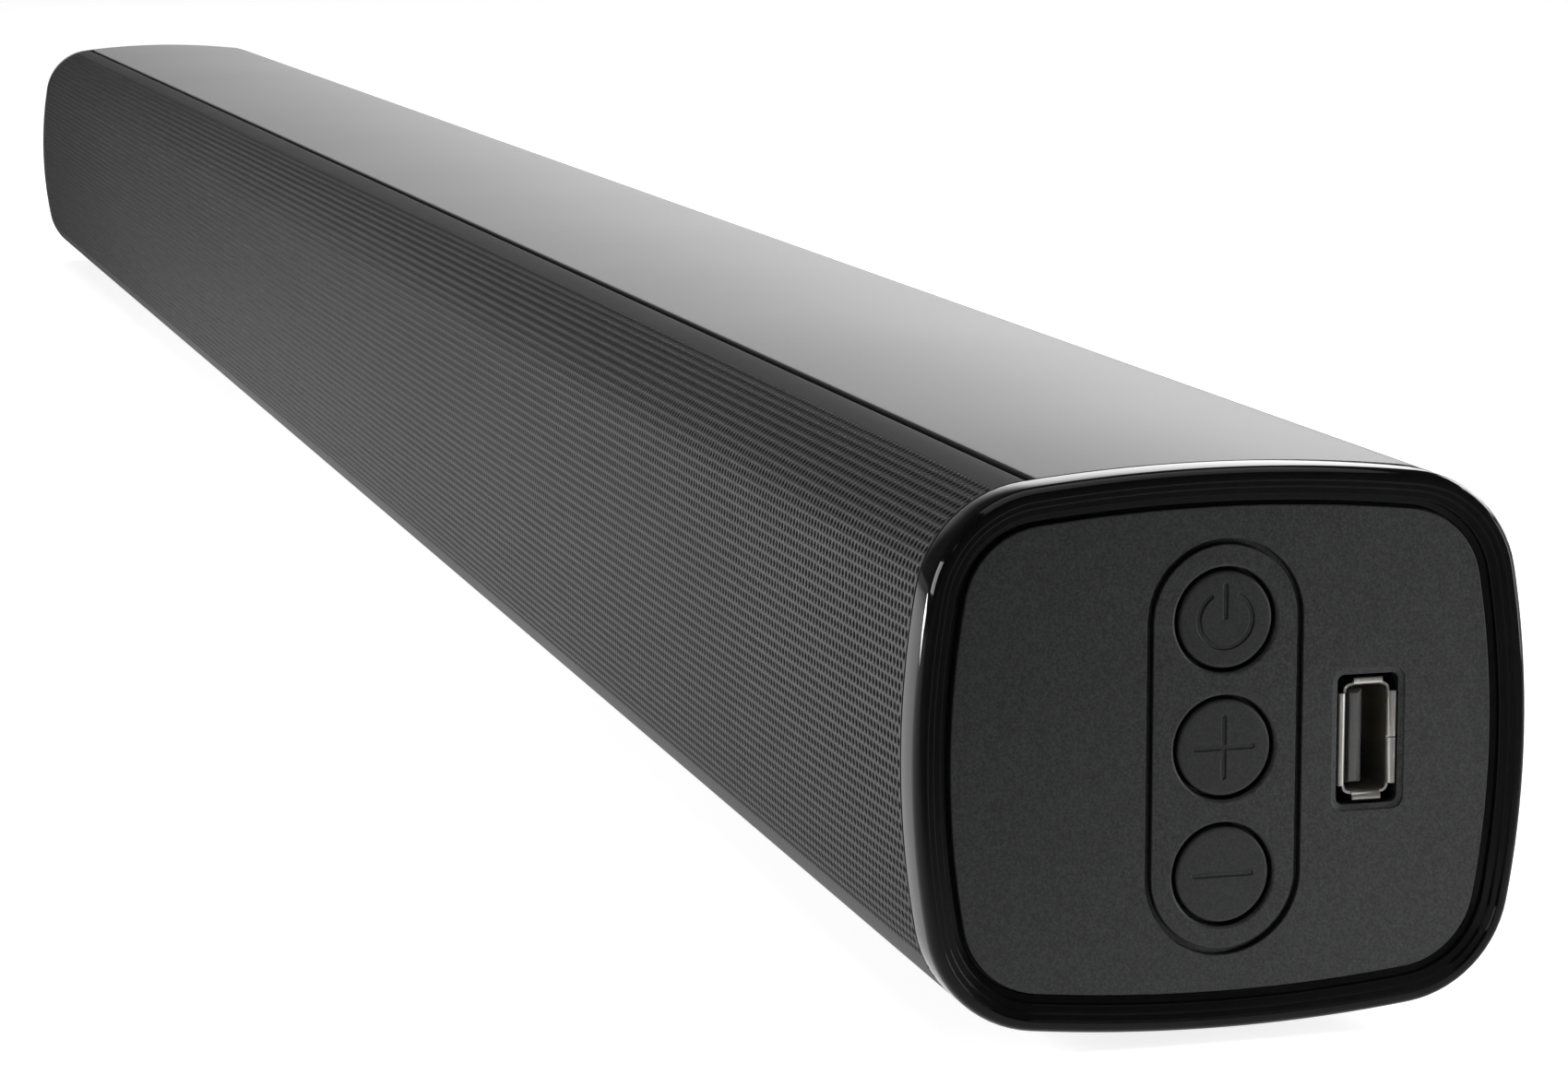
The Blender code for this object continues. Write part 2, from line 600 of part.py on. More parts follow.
def make_driver(number, x):
    """One speaker. Heights run back from the baffle's front face along +Y."""
    place = facing((x, BAFFLE_FRONT, CENTRE_Z), BACK)
    frame = (
        (22.6, -1.6), (26.0, -1.6), (26.0, -0.3), (23.0, -0.3), (23.0, 3.5), (14.0, 15.0),
        (14.0, 17.0), (7.9, 17.0), (7.9, 15.4), (12.8, 15.4), (20.6, 4.0), (20.6, 0.5), (22.6, 0.5),
    )
    surround = (
        (22.3, -0.4), (22.3, 0.2), (20.6, 0.2), (19.2, -1.6), (17.9, 0.2), (17.5, 0.2),
        (17.5, -0.4), (19.2, -2.3),
    )
    cone = (
        (0, 3.0), (4.0, 3.7), (7.0, 5.5), (17.0, -0.2), (17.2, 0.4), (7.4, 8.4), (7.2, 20.0),
        (6.7, 20.0), (6.7, 7.2), (0, 4.6),
    )
    motor = (
        (0, 16.6), (6.3, 16.6), (6.3, 24.0), (7.7, 24.0), (7.7, 17.3), (16.0, 17.3), (16.0, 27.5),
        (0, 27.5),
    )
    pieces = (
        ("speaker_frame", frame, True, DARK_STEEL),
        ("speaker_surround", surround, True, RUBBER),
        ("speaker_cone", cone, False, PAPER_CONE),
        ("speaker_motor", motor, False, DARK_STEEL),
    )
    for name, profile, closed, finish in pieces:
        scaled = [(radius * MM, height * MM) for radius, height in profile]
        lathe(f"{name}_{number}", scaled, place, finish, 16, closed)


def make_ports():
    """Bass port tubes that open at the back with a flare."""
    for side, hand in ((-1, "left"), (1, "right")):
        profile = (
            (14.2, 36.5), (14.2, 33.0), (12.4, 31.0), (12.4, -6.0), (11.0, -6.0), (11.0, 31.5),
            (11.8, 34.6), (13.6, 36.5),
        )
        scaled = [(radius * MM, height * MM) for radius, height in profile]
        place = facing((side * PORT_X, 0, CENTRE_Z), BACK)
        lathe(f"bass_port_{hand}", scaled, place, SATIN_BLACK, 20, closed=True)


def foot_body(name, size, low, high, x, y, finish):
    """An upright round-ended block."""
    points = rounded_rectangle(*size, size[1] / 2 - 0.1 * MM)
    return loft(name, [[(x + u, y + v, z) for u, v in points] for z in (low, high)], finish)


def make_feet():
    for x_side, end in ((-1, "left"), (1, "right")):
        for y_side, row in ((-1, "front"), (1, "rear")):
            x, y = x_side * FOOT_X, y_side * FOOT_Y
            foot_body(f"foot_{row}_{end}", FOOT_SIZE, 0, FOOT_SEAT - GAP, x, y, RUBBER)


def make_screws():
    """Countersunk screws through the housing into the rims' spigots."""
    for side, hand in ((-1, "left"), (1, "right")):
        for rise, level in ((SCREW_RISE, "upper"), (-SCREW_RISE, "lower")):
            place = facing((side * SCREW_X, 0, CENTRE_Z + rise), BACK)
            profile = (
                (0, 26 * MM), (1.3 * MM, 27 * MM), (1.3 * MM, 35.2 * MM), (2.8 * MM, 35.3 * MM),
                (2.6 * MM, 36.1 * MM), (0, 36.3 * MM),
            )
            screw = lathe(f"cap_screw_{hand}_{level}", profile, place, DARK_STEEL, 12)
            for turn, (wide, tall) in enumerate(((1.7, 0.25), (0.25, 1.7))):
                low = (side * SCREW_X - wide * MM, 35.7 * MM, CENTRE_Z + rise - tall * MM)
                high = (side * SCREW_X + wide * MM, 40 * MM, CENTRE_Z + rise + tall * MM)
                combine(screw, block(f"cutter_cross_{hand}_{level}_{turn}", low, high, None))


def make_lead():
    """The lead from the main board to the control board, along the back of the cabinet."""
    route = (
        (96, 15.6, -16), (116, 15.8, -16), (135, 20, -19), (160, 25, -21), (200, 26.5, -21.5),
        (300, 27, -21.5), (370, 25, -22), (400, 21, -22.5), (425, 17, -21.5), (440, 12, -18),
        (448, 10, -12), (449.6, 10, -4),
    )
    curve = bpy.data.curves.new("control_lead", "CURVE")
    curve.dimensions = "3D"
    curve.bevel_depth = 1.5 * MM
    curve.bevel_resolution = 2
    curve.use_fill_caps = True
    spline = curve.splines.new("POLY")
    spline.points.add(len(route) - 1)
    for point, (x, y, z) in zip(spline.points, route):
        point.co = (x * MM, y * MM, z * MM + CENTRE_Z, 1)
    lead = bpy.data.objects.new("control_lead", curve)
    bpy.context.scene.collection.objects.link(lead)
    curve.materials.append(make_material("control_lead", RUBBER))


def main():
    for obj in list(bpy.data.objects):
        bpy.data.objects.remove(obj)
    make_housing()
    make_keyhole_plates()
    make_grille()
    make_baffle()
    for hand, side in (("left", -1), ("right", 1)):
        make_rim(hand, side)
    make_panel("left", -1)
    make_control_panel()
    make_buttons()
    make_usb_socket()
    make_boards()
    for number, x in enumerate(DRIVER_XS, start=1):
        make_driver(number, x)
    make_ports()
    make_feet()
    make_screws()
    make_lead()


main()
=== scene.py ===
import math

import bmesh
import bpy
import numpy as np
from mathutils import Matrix, Vector


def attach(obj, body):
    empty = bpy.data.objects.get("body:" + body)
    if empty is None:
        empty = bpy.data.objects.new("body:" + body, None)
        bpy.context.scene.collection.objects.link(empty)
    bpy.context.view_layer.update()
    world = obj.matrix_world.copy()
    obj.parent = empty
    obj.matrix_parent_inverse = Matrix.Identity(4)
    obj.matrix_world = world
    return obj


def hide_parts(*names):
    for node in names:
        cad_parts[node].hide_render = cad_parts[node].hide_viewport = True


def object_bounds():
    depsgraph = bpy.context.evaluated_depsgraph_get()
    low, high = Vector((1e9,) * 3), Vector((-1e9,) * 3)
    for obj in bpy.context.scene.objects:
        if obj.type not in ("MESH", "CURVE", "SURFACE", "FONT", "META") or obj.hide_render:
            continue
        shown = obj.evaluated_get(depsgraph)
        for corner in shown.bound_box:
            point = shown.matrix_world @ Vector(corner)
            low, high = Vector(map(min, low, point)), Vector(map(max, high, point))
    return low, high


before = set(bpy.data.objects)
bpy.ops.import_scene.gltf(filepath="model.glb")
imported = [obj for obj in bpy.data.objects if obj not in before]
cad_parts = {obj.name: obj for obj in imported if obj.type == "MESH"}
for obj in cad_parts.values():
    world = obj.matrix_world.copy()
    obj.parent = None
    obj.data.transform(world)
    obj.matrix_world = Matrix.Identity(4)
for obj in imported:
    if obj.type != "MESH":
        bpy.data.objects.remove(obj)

MM = 0.001
CAD_LOW, CAD_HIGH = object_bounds()

# The section of the bar, as in the solids
HALF = CAD_HIGH.x
DEPTH = CAD_HIGH.y - CAD_LOW.y
HEIGHT = 66 * MM
CENTRE_Z = CAD_HIGH.z - HEIGHT / 2
SIDE_BULGE = 4.9 * MM
FLAT_BULGE = 3.5 * MM
CORNER_RADIUS = 14.3 * MM
WALL = 2.5 * MM
COLLAR = 5.7 * MM
SHELL_HALF = HALF - COLLAR - 0.3 * MM

SEAM_BACK = -21.55 * MM  # the housing's edge at the long seam
SEAM_FRONT = -22.0 * MM  # the grille's edge
SHEET = 0.8 * MM
BEND = 0.15 * MM  # inner radius of the sheet's turned-in edge

# Perforation of the grille
HOLE_COUNT = 677
HOLE_RADIUS = 0.48 * MM
HOLE_EASE = 0.10 * MM  # the rounding that the punch leaves round a hole
ROW_PITCH = 1.25 * MM
FIRST_ROW = 4.0 * MM
LAST_ROW_Z = CENTRE_Z - 22.9 * MM
SHEET_SEGMENTS = 11

# Controls
CONTROL_Z = CENTRE_Z + 0.3 * MM
BUTTON_PITCH = 15 * MM
PANEL_DEPTH = 1.0 * MM
USB_Y = 17.8 * MM

# Back and underside
HANDS = {"left": -1, "right": 1}
SOCKET_XS = {"dc_inlet": -30 * MM, "aux_socket": 0.0, "optical_socket": 30 * MM}
BAY_FLOOR = 28 * MM
BAY_Z = CENTRE_Z - 2 * MM
PORT_X = 415 * MM
KEYHOLE_X = 260 * MM
KEYHOLE_Z = CENTRE_Z + 6 * MM
KEYHOLE_RISE = 9 * MM  # from the round hole up to the end of its slot
FOOT_X = 380 * MM
FOOT_YS = {"front": -14 * MM, "rear": 14 * MM}
SCREW_INSET = 13 * MM  # from the bar's end
SCREW_RISES = {"lower": -15 * MM, "upper": 15 * MM}

BACK = Vector((0, 1, 0))
RIGHT = Vector((1, 0, 0))


# ---------------------------------------------------------------- shapes


def mm(*points):
    """Points given in millimetres."""
    return [tuple(value * MM for value in point) for point in points]


def bulge_radius(chord, rise):
    """The radius of an arc over a chord."""
    return (chord**2 / 4 + rise**2) / (2 * rise)


def section_arcs():
    """Centre, radius and end angles of the three arcs that make a quarter of the section."""
    side_radius = bulge_radius(HEIGHT, SIDE_BULGE)
    flat_radius = bulge_radius(DEPTH, FLAT_BULGE)
    side_centre = Vector((DEPTH / 2 - side_radius, 0))
    flat_centre = Vector((0, HEIGHT / 2 - flat_radius))
    a, b = side_radius - CORNER_RADIUS, flat_radius - CORNER_RADIUS
    apart = flat_centre - side_centre
    along = (a**2 - b**2 + apart.length**2) / (2 * apart.length)
    across = math.sqrt(a**2 - along**2)
    unit = apart.normalized()
    crossings = [
        side_centre + unit * along + Vector((-unit.y, unit.x)) * across * way for way in (1, -1)
    ]
    corner = max(crossings, key=lambda p: p.x + p.y)
    low = math.atan2(corner.y - side_centre.y, corner.x - side_centre.x)
    high = math.atan2(corner.y - flat_centre.y, corner.x - flat_centre.x)
    return (
        (side_centre, side_radius, 0.0, low),
        (corner, CORNER_RADIUS, low, high),
        (flat_centre, flat_radius, high, math.pi / 2),
    )


def outline_with_normals(side_steps=9, corner_steps=14):
    """The section's outline from the rearmost point, over the top: points and normals in (y, z)."""
    points, normals = [], []
    for (centre, radius, first, last), steps in zip(
        section_arcs(), (side_steps, corner_steps, side_steps)
    ):
        for angle in np.linspace(first, last, steps, endpoint=False):
            way = Vector((math.cos(angle), math.sin(angle)))
            points.append(centre + radius * way)
            normals.append(way)
    points.append(Vector((0, HEIGHT / 2)))
    normals.append(Vector((0, 1)))
    quarter = list(zip(points, normals))
    upper = quarter + [(mirror(p, -1, 1), mirror(n, -1, 1)) for p, n in reversed(quarter[:-1])]
    lower = [(mirror(p, 1, -1), mirror(n, 1, -1)) for p, n in reversed(upper[1:-1])]
    whole = upper + lower
    return np.array([p for p, _ in whole]), np.array([n for _, n in whole])


def mirror(v, y_sign, z_sign):
    return Vector((v.x * y_sign, v.y * z_sign))


OUTLINE, OUTLINE_NORMALS = outline_with_normals()


def outline(inset):
    """(y, z) points of the section moved inwards by inset, standing at the section's height."""
    return OUTLINE - OUTLINE_NORMALS * inset + np.array((0, CENTRE_Z))


def part_of_outline(inset, limit, front):
    """The stretch of the outline in front of (or behind) y = limit, from its top end down."""
    points = [tuple(p) for p in outline(inset)]
    inside = [(y < limit) == front for y, _ in points]
    start = next(i for i in range(len(points)) if inside[i] and not inside[i - 1])
    points = points[start - 1 :] + points[: start - 1]
    inside = inside[start - 1 :] + inside[: start - 1]
    stretch = []
    for before, here, was_in, is_in in zip(points, points[1:], inside, inside[1:]):
        if was_in != is_in:
            share = (limit - before[0]) / (here[0] - before[0])
            stretch.append((limit, before[1] + share * (here[1] - before[1])))
        if not is_in:
            break
        stretch.append(here)
    return stretch if stretch[0][1] > stretch[-1][1] else stretch[::-1]


def softened(profile, steps=4):
    """Rounds the corners of a closed profile of (u, v, radius) points."""
    points = []
    count = len(profile)
    for i, (u, v, radius) in enumerate(profile):
        here = Vector((u, v))
        before = Vector(profile[i - 1][:2]) - here
        after = Vector(profile[(i + 1) % count][:2]) - here
        if radius <= 0 or before.length == 0 or after.length == 0:
            points.append((u, v))
            continue
        half = before.angle(after) / 2
        reach = min(radius / math.tan(half), before.length * 0.49, after.length * 0.49)
        start, end = here + before.normalized() * reach, here + after.normalized() * reach
        for step in range(steps + 1):
            t = step / steps
            points.append(tuple(start * (1 - t) ** 2 + here * 2 * t * (1 - t) + end * t * t))
    return points


def softened_line(profile, steps=4):
    """Rounds the corners of an open profile of (u, v, radius) points. Its ends stay sharp."""
    ends = [(*profile[0][:2], 0), *profile[1:-1], (*profile[-1][:2], 0)]
    return softened(ends, steps)


def finished_mesh(name, bm, angle=35):
    """Closes a bmesh into an object with smooth shading up to an angle."""
    bmesh.ops.recalc_face_normals(bm, faces=bm.faces)
    mesh = bpy.data.meshes.new(name)
    bm.to_mesh(mesh)
    bm.free()
    mesh.shade_smooth()
    mesh.set_sharp_from_angle(angle=math.radians(angle))
    piece = bpy.data.objects.new(name, mesh)
    bpy.context.scene.collection.objects.link(piece)
    return piece


def loft(name, loops, ring=False, angle=35):
    """A body through loops of equally many points. A ring joins its last loop to the first."""
    bm = bmesh.new()
    rows = [[bm.verts.new(point) for point in loop] for loop in loops]
    pairs = list(zip(rows, rows[1:] + rows[:1])) if ring else list(zip(rows, rows[1:]))
    for row, following in pairs:
        for i in range(len(row)):
            bm.faces.new((row[i - 1], row[i], following[i], following[i - 1]))
    if not ring:
        bm.faces.new(rows[0])
        bm.faces.new(rows[-1][::-1])
    return finished_mesh(name, bm, angle)


def block(name, low, high, bevel=0.0, segments=2):
    """A block with rounded edges."""
    bm = bmesh.new()
    middle = (Vector(low) + Vector(high)) / 2
    size = Vector(high) - Vector(low)
    place = Matrix.Translation(middle) @ Matrix.Diagonal((*size, 1))
    bmesh.ops.create_cube(bm, size=1, matrix=place)
    if bevel:
        bmesh.ops.bevel(
            bm, geom=bm.edges[:], offset=bevel, segments=segments, profile=0.5, affect="EDGES"
        )
    return finished_mesh(name, bm, 35)


def facing(origin, direction):
    """The placement whose local Z runs along direction."""
    turn = Vector((0, 0, 1)).rotation_difference(Vector(direction)).to_matrix().to_4x4()
    return Matrix.Translation(origin) @ turn


def lathe(name, profile, place, segments=64, closed=False, angle=35):
    """A profile of (radius, height) points turned about the placement's Z axis."""
    bm = bmesh.new()
    points = [bm.verts.new((radius, 0, height)) for radius, height in profile]
    ends = zip(points, points[1:] + points[:1]) if closed else zip(points, points[1:])
    edges = [bm.edges.new(pair) for pair in ends]
    bmesh.ops.spin(
        bm, geom=points + edges, axis=(0, 0, 1), cent=(0, 0, 0), angle=2 * math.pi,
        steps=segments, use_merge=True,
    )
    bmesh.ops.remove_doubles(bm, verts=bm.verts, dist=1e-6)
    bm.transform(place)
    return finished_mesh(name, bm, angle)


def apply_modifiers(piece, angle=None):
    """Bakes a piece's modifiers into its mesh."""
    graph = bpy.context.evaluated_depsgraph_get()
    mesh = bpy.data.meshes.new_from_object(piece.evaluated_get(graph))
    piece.modifiers.clear()
    piece.data = mesh
    if angle is not None:
        mesh.shade_smooth()
        mesh.set_sharp_from_angle(angle=math.radians(angle))


def combine(body, tools, operation="DIFFERENCE", angle=35):
    """Cuts or joins helper solids and throws them away."""
    for tool in tools:
        modifier = body.modifiers.new(tool.name, "BOOLEAN")
        modifier.operation = operation
        modifier.object = tool
        modifier.solver = "EXACT"
    apply_modifiers(body, angle)
    for tool in tools:
        bpy.data.objects.remove(tool)


def even_shading(piece):
    """Lets large faces keep their own normals beside small rounded edges."""
    modifier = piece.modifiers.new("even_shading", "WEIGHTED_NORMAL")
    modifier.keep_sharp = True
    modifier.weight = 80
    apply_modifiers(piece)


def rounded_rectangle(width, height, radius, steps=8):
    """(u, v) points about the origin, anticlockwise."""
    points = []
    for quadrant, (side, rise) in enumerate(((1, 1), (-1, 1), (-1, -1), (1, -1))):
        centre = Vector((side * (width / 2 - radius), rise * (height / 2 - radius)))
        for step in range(steps + 1):
            angle = math.pi / 2 * (quadrant + step / steps)
            points.append(tuple(centre + radius * Vector((math.cos(angle), math.sin(angle)))))
    return points


def end_x(depth, side=1):
    """X at a depth into the right (side 1) or left (side -1) end."""
    return side * (HALF - depth)


def end_loop(inset, depth, side=1):
    """The bar's outline at an inset and a depth into one end."""
    return [(end_x(depth, side), y, z) for y, z in outline(inset)]


def at_back(x, z):
    """The placement whose local Z runs out of the back."""
    return facing((x, 0, z), BACK)


def place_piece(piece, finish, slot, *nodes, body="cabinet"):
    """Gives a piece its finish and its body, and hides the CAD nodes that it stands for."""
    piece.data.materials.clear()
    piece.data.materials.append(FINISHES[finish])
    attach(piece, body)
    if nodes:
        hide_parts(*nodes)


# ---------------------------------------------------------------- finishes


def new_group(name, inputs, outputs):
    """A shader node group with its inner nodes made by the caller."""
    group = bpy.data.node_groups.new(name, "ShaderNodeTree")
    for label, value in inputs.items():
        socket = group.interface.new_socket(label, in_out="INPUT", socket_type="NodeSocketFloat")
        socket.default_value = value
    for label, kind in outputs.items():
        group.interface.new_socket(label, in_out="OUTPUT", socket_type=kind)
    return group, group.nodes.new("NodeGroupInput"), group.nodes.new("NodeGroupOutput")


def add(tree, kind, **settings):
    node = tree.nodes.new(kind)
    for name, value in settings.items():
        setattr(node, name, value)
    return node


def link(tree, source, target):
    tree.links.new(source, target)


def math_node(tree, operation, first, second):
    """A math node fed by sockets or plain numbers."""
    node = add(tree, "ShaderNodeMath", operation=operation)
    for socket, value in zip(node.inputs, (first, second)):
        if isinstance(value, (int, float)):
            socket.default_value = value
        else:
            link(tree, value, socket)
    return node.outputs[0]


def noise(tree, vector, scale, detail=2.0, roughness=0.5):
    node = add(tree, "ShaderNodeTexNoise")
    node.inputs["Detail"].default_value = detail
    node.inputs["Roughness"].default_value = roughness
    link(tree, vector, node.inputs["Vector"])
    if isinstance(scale, (int, float)):
        node.inputs["Scale"].default_value = scale
    else:
        link(tree, scale, node.inputs["Scale"])
    return node.outputs["Fac"]


def spread(tree, value, low, high, out_low, out_high):
    """Maps the range low to high onto another, clamped."""
    node = add(tree, "ShaderNodeMapRange")
    link(tree, value, node.inputs["Value"])
    for label, number in (
        ("From Min", low), ("From Max", high), ("To Min", out_low), ("To Max", out_high)
    ):
        if isinstance(number, (int, float)):
            node.inputs[label].default_value = number
        else:
            link(tree, number, node.inputs[label])
    return node.outputs["Result"]


def make_moulded_grain():
    """The spark-eroded grain of moulded plastic: a height, and a speckle for colour."""
    group, given, result = new_group(
        "Moulded grain",
        {"Grains per metre": 4000.0},
        {"Height": "NodeSocketFloat", "Speckle": "NodeSocketFloat"},
    )
    place = add(group, "ShaderNodeTexCoord").outputs["Object"]
    coarse = noise(group, place, given.outputs["Grains per metre"], 3.0, 0.6)
    finer = math_node(group, "MULTIPLY", given.outputs["Grains per metre"], 2.7)
    pits = math_node(group, "MULTIPLY", noise(group, place, finer, 1.0, 0.5), 0.35)
    link(group, math_node(group, "ADD", pits, coarse), result.inputs["Height"])
    link(group, spread(group, coarse, 0.35, 0.68, 0.0, 1.0), result.inputs["Speckle"])
    return group


def make_handled():
    """Where hands and cloths have passed: soft patches that are a little duller or shinier."""
    group, given, result = new_group(
        "Handled surface",
        {"Shiniest": 0.3, "Dullest": 0.4, "Patches per metre": 18.0},
        {"Roughness": "NodeSocketFloat", "Patches": "NodeSocketFloat"},
    )
    place = add(group, "ShaderNodeTexCoord").outputs["Object"]
    patches = noise(group, place, given.outputs["Patches per metre"], 4.0, 0.55)
    even = spread(
        group, patches, 0.32, 0.68, given.outputs["Shiniest"], given.outputs["Dullest"]
    )
    link(group, even, result.inputs["Roughness"])
    link(group, spread(group, patches, 0.32, 0.68, 0.0, 1.0), result.inputs["Patches"])
    return group


def make_drawn_lines():
    """The fine lines that rolling and drawing leave along sheet metal."""
    group, given, result = new_group(
        "Drawn lines",
        {"Lines per metre": 9000.0, "Shiniest": 0.15, "Dullest": 0.35},
        {"Height": "NodeSocketFloat", "Roughness": "NodeSocketFloat"},
    )
    place = add(group, "ShaderNodeTexCoord").outputs["Object"]
    stretch = add(group, "ShaderNodeMapping")
    stretch.inputs["Scale"].default_value = (0.03, 1.0, 1.0)
    link(group, place, stretch.inputs["Vector"])
    lines = noise(group, stretch.outputs["Vector"], given.outputs["Lines per metre"], 2.0, 0.6)
    link(group, lines, result.inputs["Height"])
    even = spread(group, lines, 0.3, 0.7, given.outputs["Shiniest"], given.outputs["Dullest"])
    link(group, even, result.inputs["Roughness"])
    return group


def make_weave():
    """Plain-woven threads, over and under."""
    group, given, result = new_group(
        "Plain weave", {"Threads per metre": 2500.0}, {"Height": "NodeSocketFloat"}
    )
    place = add(group, "ShaderNodeTexCoord").outputs["Object"]
    parts = add(group, "ShaderNodeSeparateXYZ")
    link(group, place, parts.inputs[0])
    turns = math_node(group, "MULTIPLY", given.outputs["Threads per metre"], math.pi)
    across = math_node(group, "SINE", math_node(group, "MULTIPLY", parts.outputs["X"], turns), 0)
    upward = math_node(group, "SINE", math_node(group, "MULTIPLY", parts.outputs["Z"], turns), 0)
    link(group, math_node(group, "MULTIPLY", across, upward), result.inputs["Height"])
    return group


GRAIN = make_moulded_grain()
HANDLED = make_handled()
DRAWN = make_drawn_lines()
WEAVE = make_weave()


def start_finish(name, roughness, metallic=0.0, specular=0.5):
    material = bpy.data.materials.new(name)
    material.use_nodes = True
    tree = material.node_tree
    shader = tree.nodes["Principled BSDF"]
    shader.inputs["Roughness"].default_value = roughness
    shader.inputs["Metallic"].default_value = metallic
    shader.inputs["Specular IOR Level"].default_value = specular
    return material, tree, shader


def use_group(tree, group, **values):
    node = add(tree, "ShaderNodeGroup", node_tree=group)
    for label, value in values.items():
        node.inputs[label.replace("_", " ")].default_value = value
    return node


def two_tones(tree, shader, mask, dark, light):
    """Base Color between two tones, by a mask."""
    mix = add(tree, "ShaderNodeMix", data_type="RGBA")
    mix.inputs["A"].default_value = (*dark, 1)
    mix.inputs["B"].default_value = (*light, 1)
    link(tree, mask, mix.inputs["Factor"])
    link(tree, mix.outputs["Result"], shader.inputs["Base Color"])


def add_bump(tree, shader, height, strength, distance):
    bump = add(tree, "ShaderNodeBump")
    bump.inputs["Strength"].default_value = strength
    bump.inputs["Distance"].default_value = distance
    link(tree, height, bump.inputs["Height"])
    link(tree, bump.outputs["Normal"], shader.inputs["Normal"])


def plastic(name, dark, light, shiniest, dullest, grains, depth, specular=0.5):
    """Moulded plastic with its grain, speckle and uneven shine."""
    material, tree, shader = start_finish(name, (shiniest + dullest) / 2, 0.0, specular)
    grain = use_group(tree, GRAIN, Grains_per_metre=grains)
    handled = use_group(tree, HANDLED, Shiniest=shiniest, Dullest=dullest)
    two_tones(tree, shader, grain.outputs["Speckle"], dark, light)
    link(tree, handled.outputs["Roughness"], shader.inputs["Roughness"])
    if depth:
        add_bump(tree, shader, grain.outputs["Height"], 1.0, depth)
    return material


def painted_sheet(name, dark, light, shiniest, dullest, specular=0.5):
    """Powder coat on sheet metal: a faint drift of tone, with the shape doing the rest."""
    material, tree, shader = start_finish(name, (shiniest + dullest) / 2, 0.0, specular)
    handled = use_group(tree, HANDLED, Shiniest=shiniest, Dullest=dullest, Patches_per_metre=9.0)
    two_tones(tree, shader, handled.outputs["Patches"], dark, light)
    link(tree, handled.outputs["Roughness"], shader.inputs["Roughness"])
    return material


def bare_metal(name, dark, light, shiniest, dullest, lines=9000.0):
    """Plated or rolled metal, with its drawn lines."""
    material, tree, shader = start_finish(name, (shiniest + dullest) / 2, 1.0)
    drawn = use_group(tree, DRAWN, Lines_per_metre=lines, Shiniest=shiniest, Dullest=dullest)
    two_tones(tree, shader, drawn.outputs["Height"], dark, light)
    link(tree, drawn.outputs["Roughness"], shader.inputs["Roughness"])
    add_bump(tree, shader, drawn.outputs["Height"], 0.4, 0.01 * MM)
    return material


def woven(name, dark, light):
    """Open cloth, lighter where a thread lies on top: painted shade in the dips between threads."""
    material, tree, shader = start_finish(name, 0.9, 0.0, 0.2)
    weave = use_group(tree, WEAVE, Threads_per_metre=2500.0)
    # Painted shade and light: the cloth's tone follows the weave's height, darker in its dips and
    # lighter on the thread tops.
    painted_thread_light = spread(tree, weave.outputs["Height"], -1.0, 1.0, 0.0, 1.0)
    two_tones(tree, shader, painted_thread_light, dark, light)
    add_bump(tree, shader, weave.outputs["Height"], 1.0, 0.08 * MM)
    return material


def grey(value, warmth=0.0):
    """A grey, warmer above 0 and cooler below."""
    return (value * (1 + warmth), value, value * (1 - warmth))


# Two tones, the shiniest and dullest roughness, grains per metre, grain depth, specular level
FINISHES = {
    "housing": plastic(
        "Satin moulding", grey(0.012), grey(0.016), 0.267, 0.273, 5200.0, 0.004 * MM
    ),
    "rim": plastic("Polished moulding", grey(0.0035), grey(0.005), 0.04, 0.07, 900.0, 0.0, 0.22),
    "panel": plastic(
        "Grained panel", grey(0.009, -0.03), grey(0.032, -0.03), 0.38, 0.46, 3400.0, 0.026 * MM
    ),
    "button": plastic(
        "Grained key", grey(0.010, -0.03), grey(0.024, -0.03), 0.38, 0.46, 3800.0, 0.014 * MM
    ),
    "grille": painted_sheet("Powder coated sheet", grey(0.026), grey(0.032), 0.50, 0.58, 0.35),
    "cloth": woven("Black dust cloth", grey(0.002), grey(0.006)),
    "inner": plastic("Inner moulding", grey(0.006), grey(0.012), 0.55, 0.70, 3000.0, 0.02 * MM),
    "port": plastic("Port moulding", grey(0.010), grey(0.015), 0.30, 0.38, 4200.0, 0.008 * MM),
    "nickel": bare_metal("Nickel plate", (0.78, 0.75, 0.70), (0.92, 0.90, 0.86), 0.30, 0.42),
    "steel": bare_metal("Zinc plated steel", (0.45, 0.46, 0.47), (0.66, 0.67, 0.68), 0.25, 0.42),
    "dark_steel": bare_metal("Blacked steel", grey(0.05), grey(0.09), 0.30, 0.45),
    "gold": bare_metal("Gold plate", (0.80, 0.55, 0.22), (0.95, 0.72, 0.34), 0.14, 0.28),
    "tongue": plastic("Socket plastic", grey(0.045), grey(0.060), 0.34, 0.44, 5000.0, 0.006 * MM),
    "socket": plastic(
        "Back socket plastic", grey(0.012), grey(0.020), 0.34, 0.44, 5000.0, 0.006 * MM
    ),
    "rubber": plastic("Foot rubber", grey(0.012), grey(0.024), 0.70, 0.85, 2200.0, 0.05 * MM, 0.3),
    "paper": plastic(
        "Felted paper cone", grey(0.020), grey(0.040), 0.80, 0.92, 1500.0, 0.08 * MM, 0.2
    ),
    "board": plastic(
        "Solder mask", (0.008, 0.055, 0.022), (0.014, 0.080, 0.034), 0.30, 0.42, 900.0, 0.0
    ),
    "window": plastic(
        "Dark clear plastic", (0.010, 0.002, 0.003), (0.014, 0.003, 0.004), 0.05, 0.10, 800.0, 0.0
    ),
    "paint": painted_sheet("Black paint", grey(0.010), grey(0.018), 0.30, 0.42),
}


# ---------------------------------------------------------------- the long shells


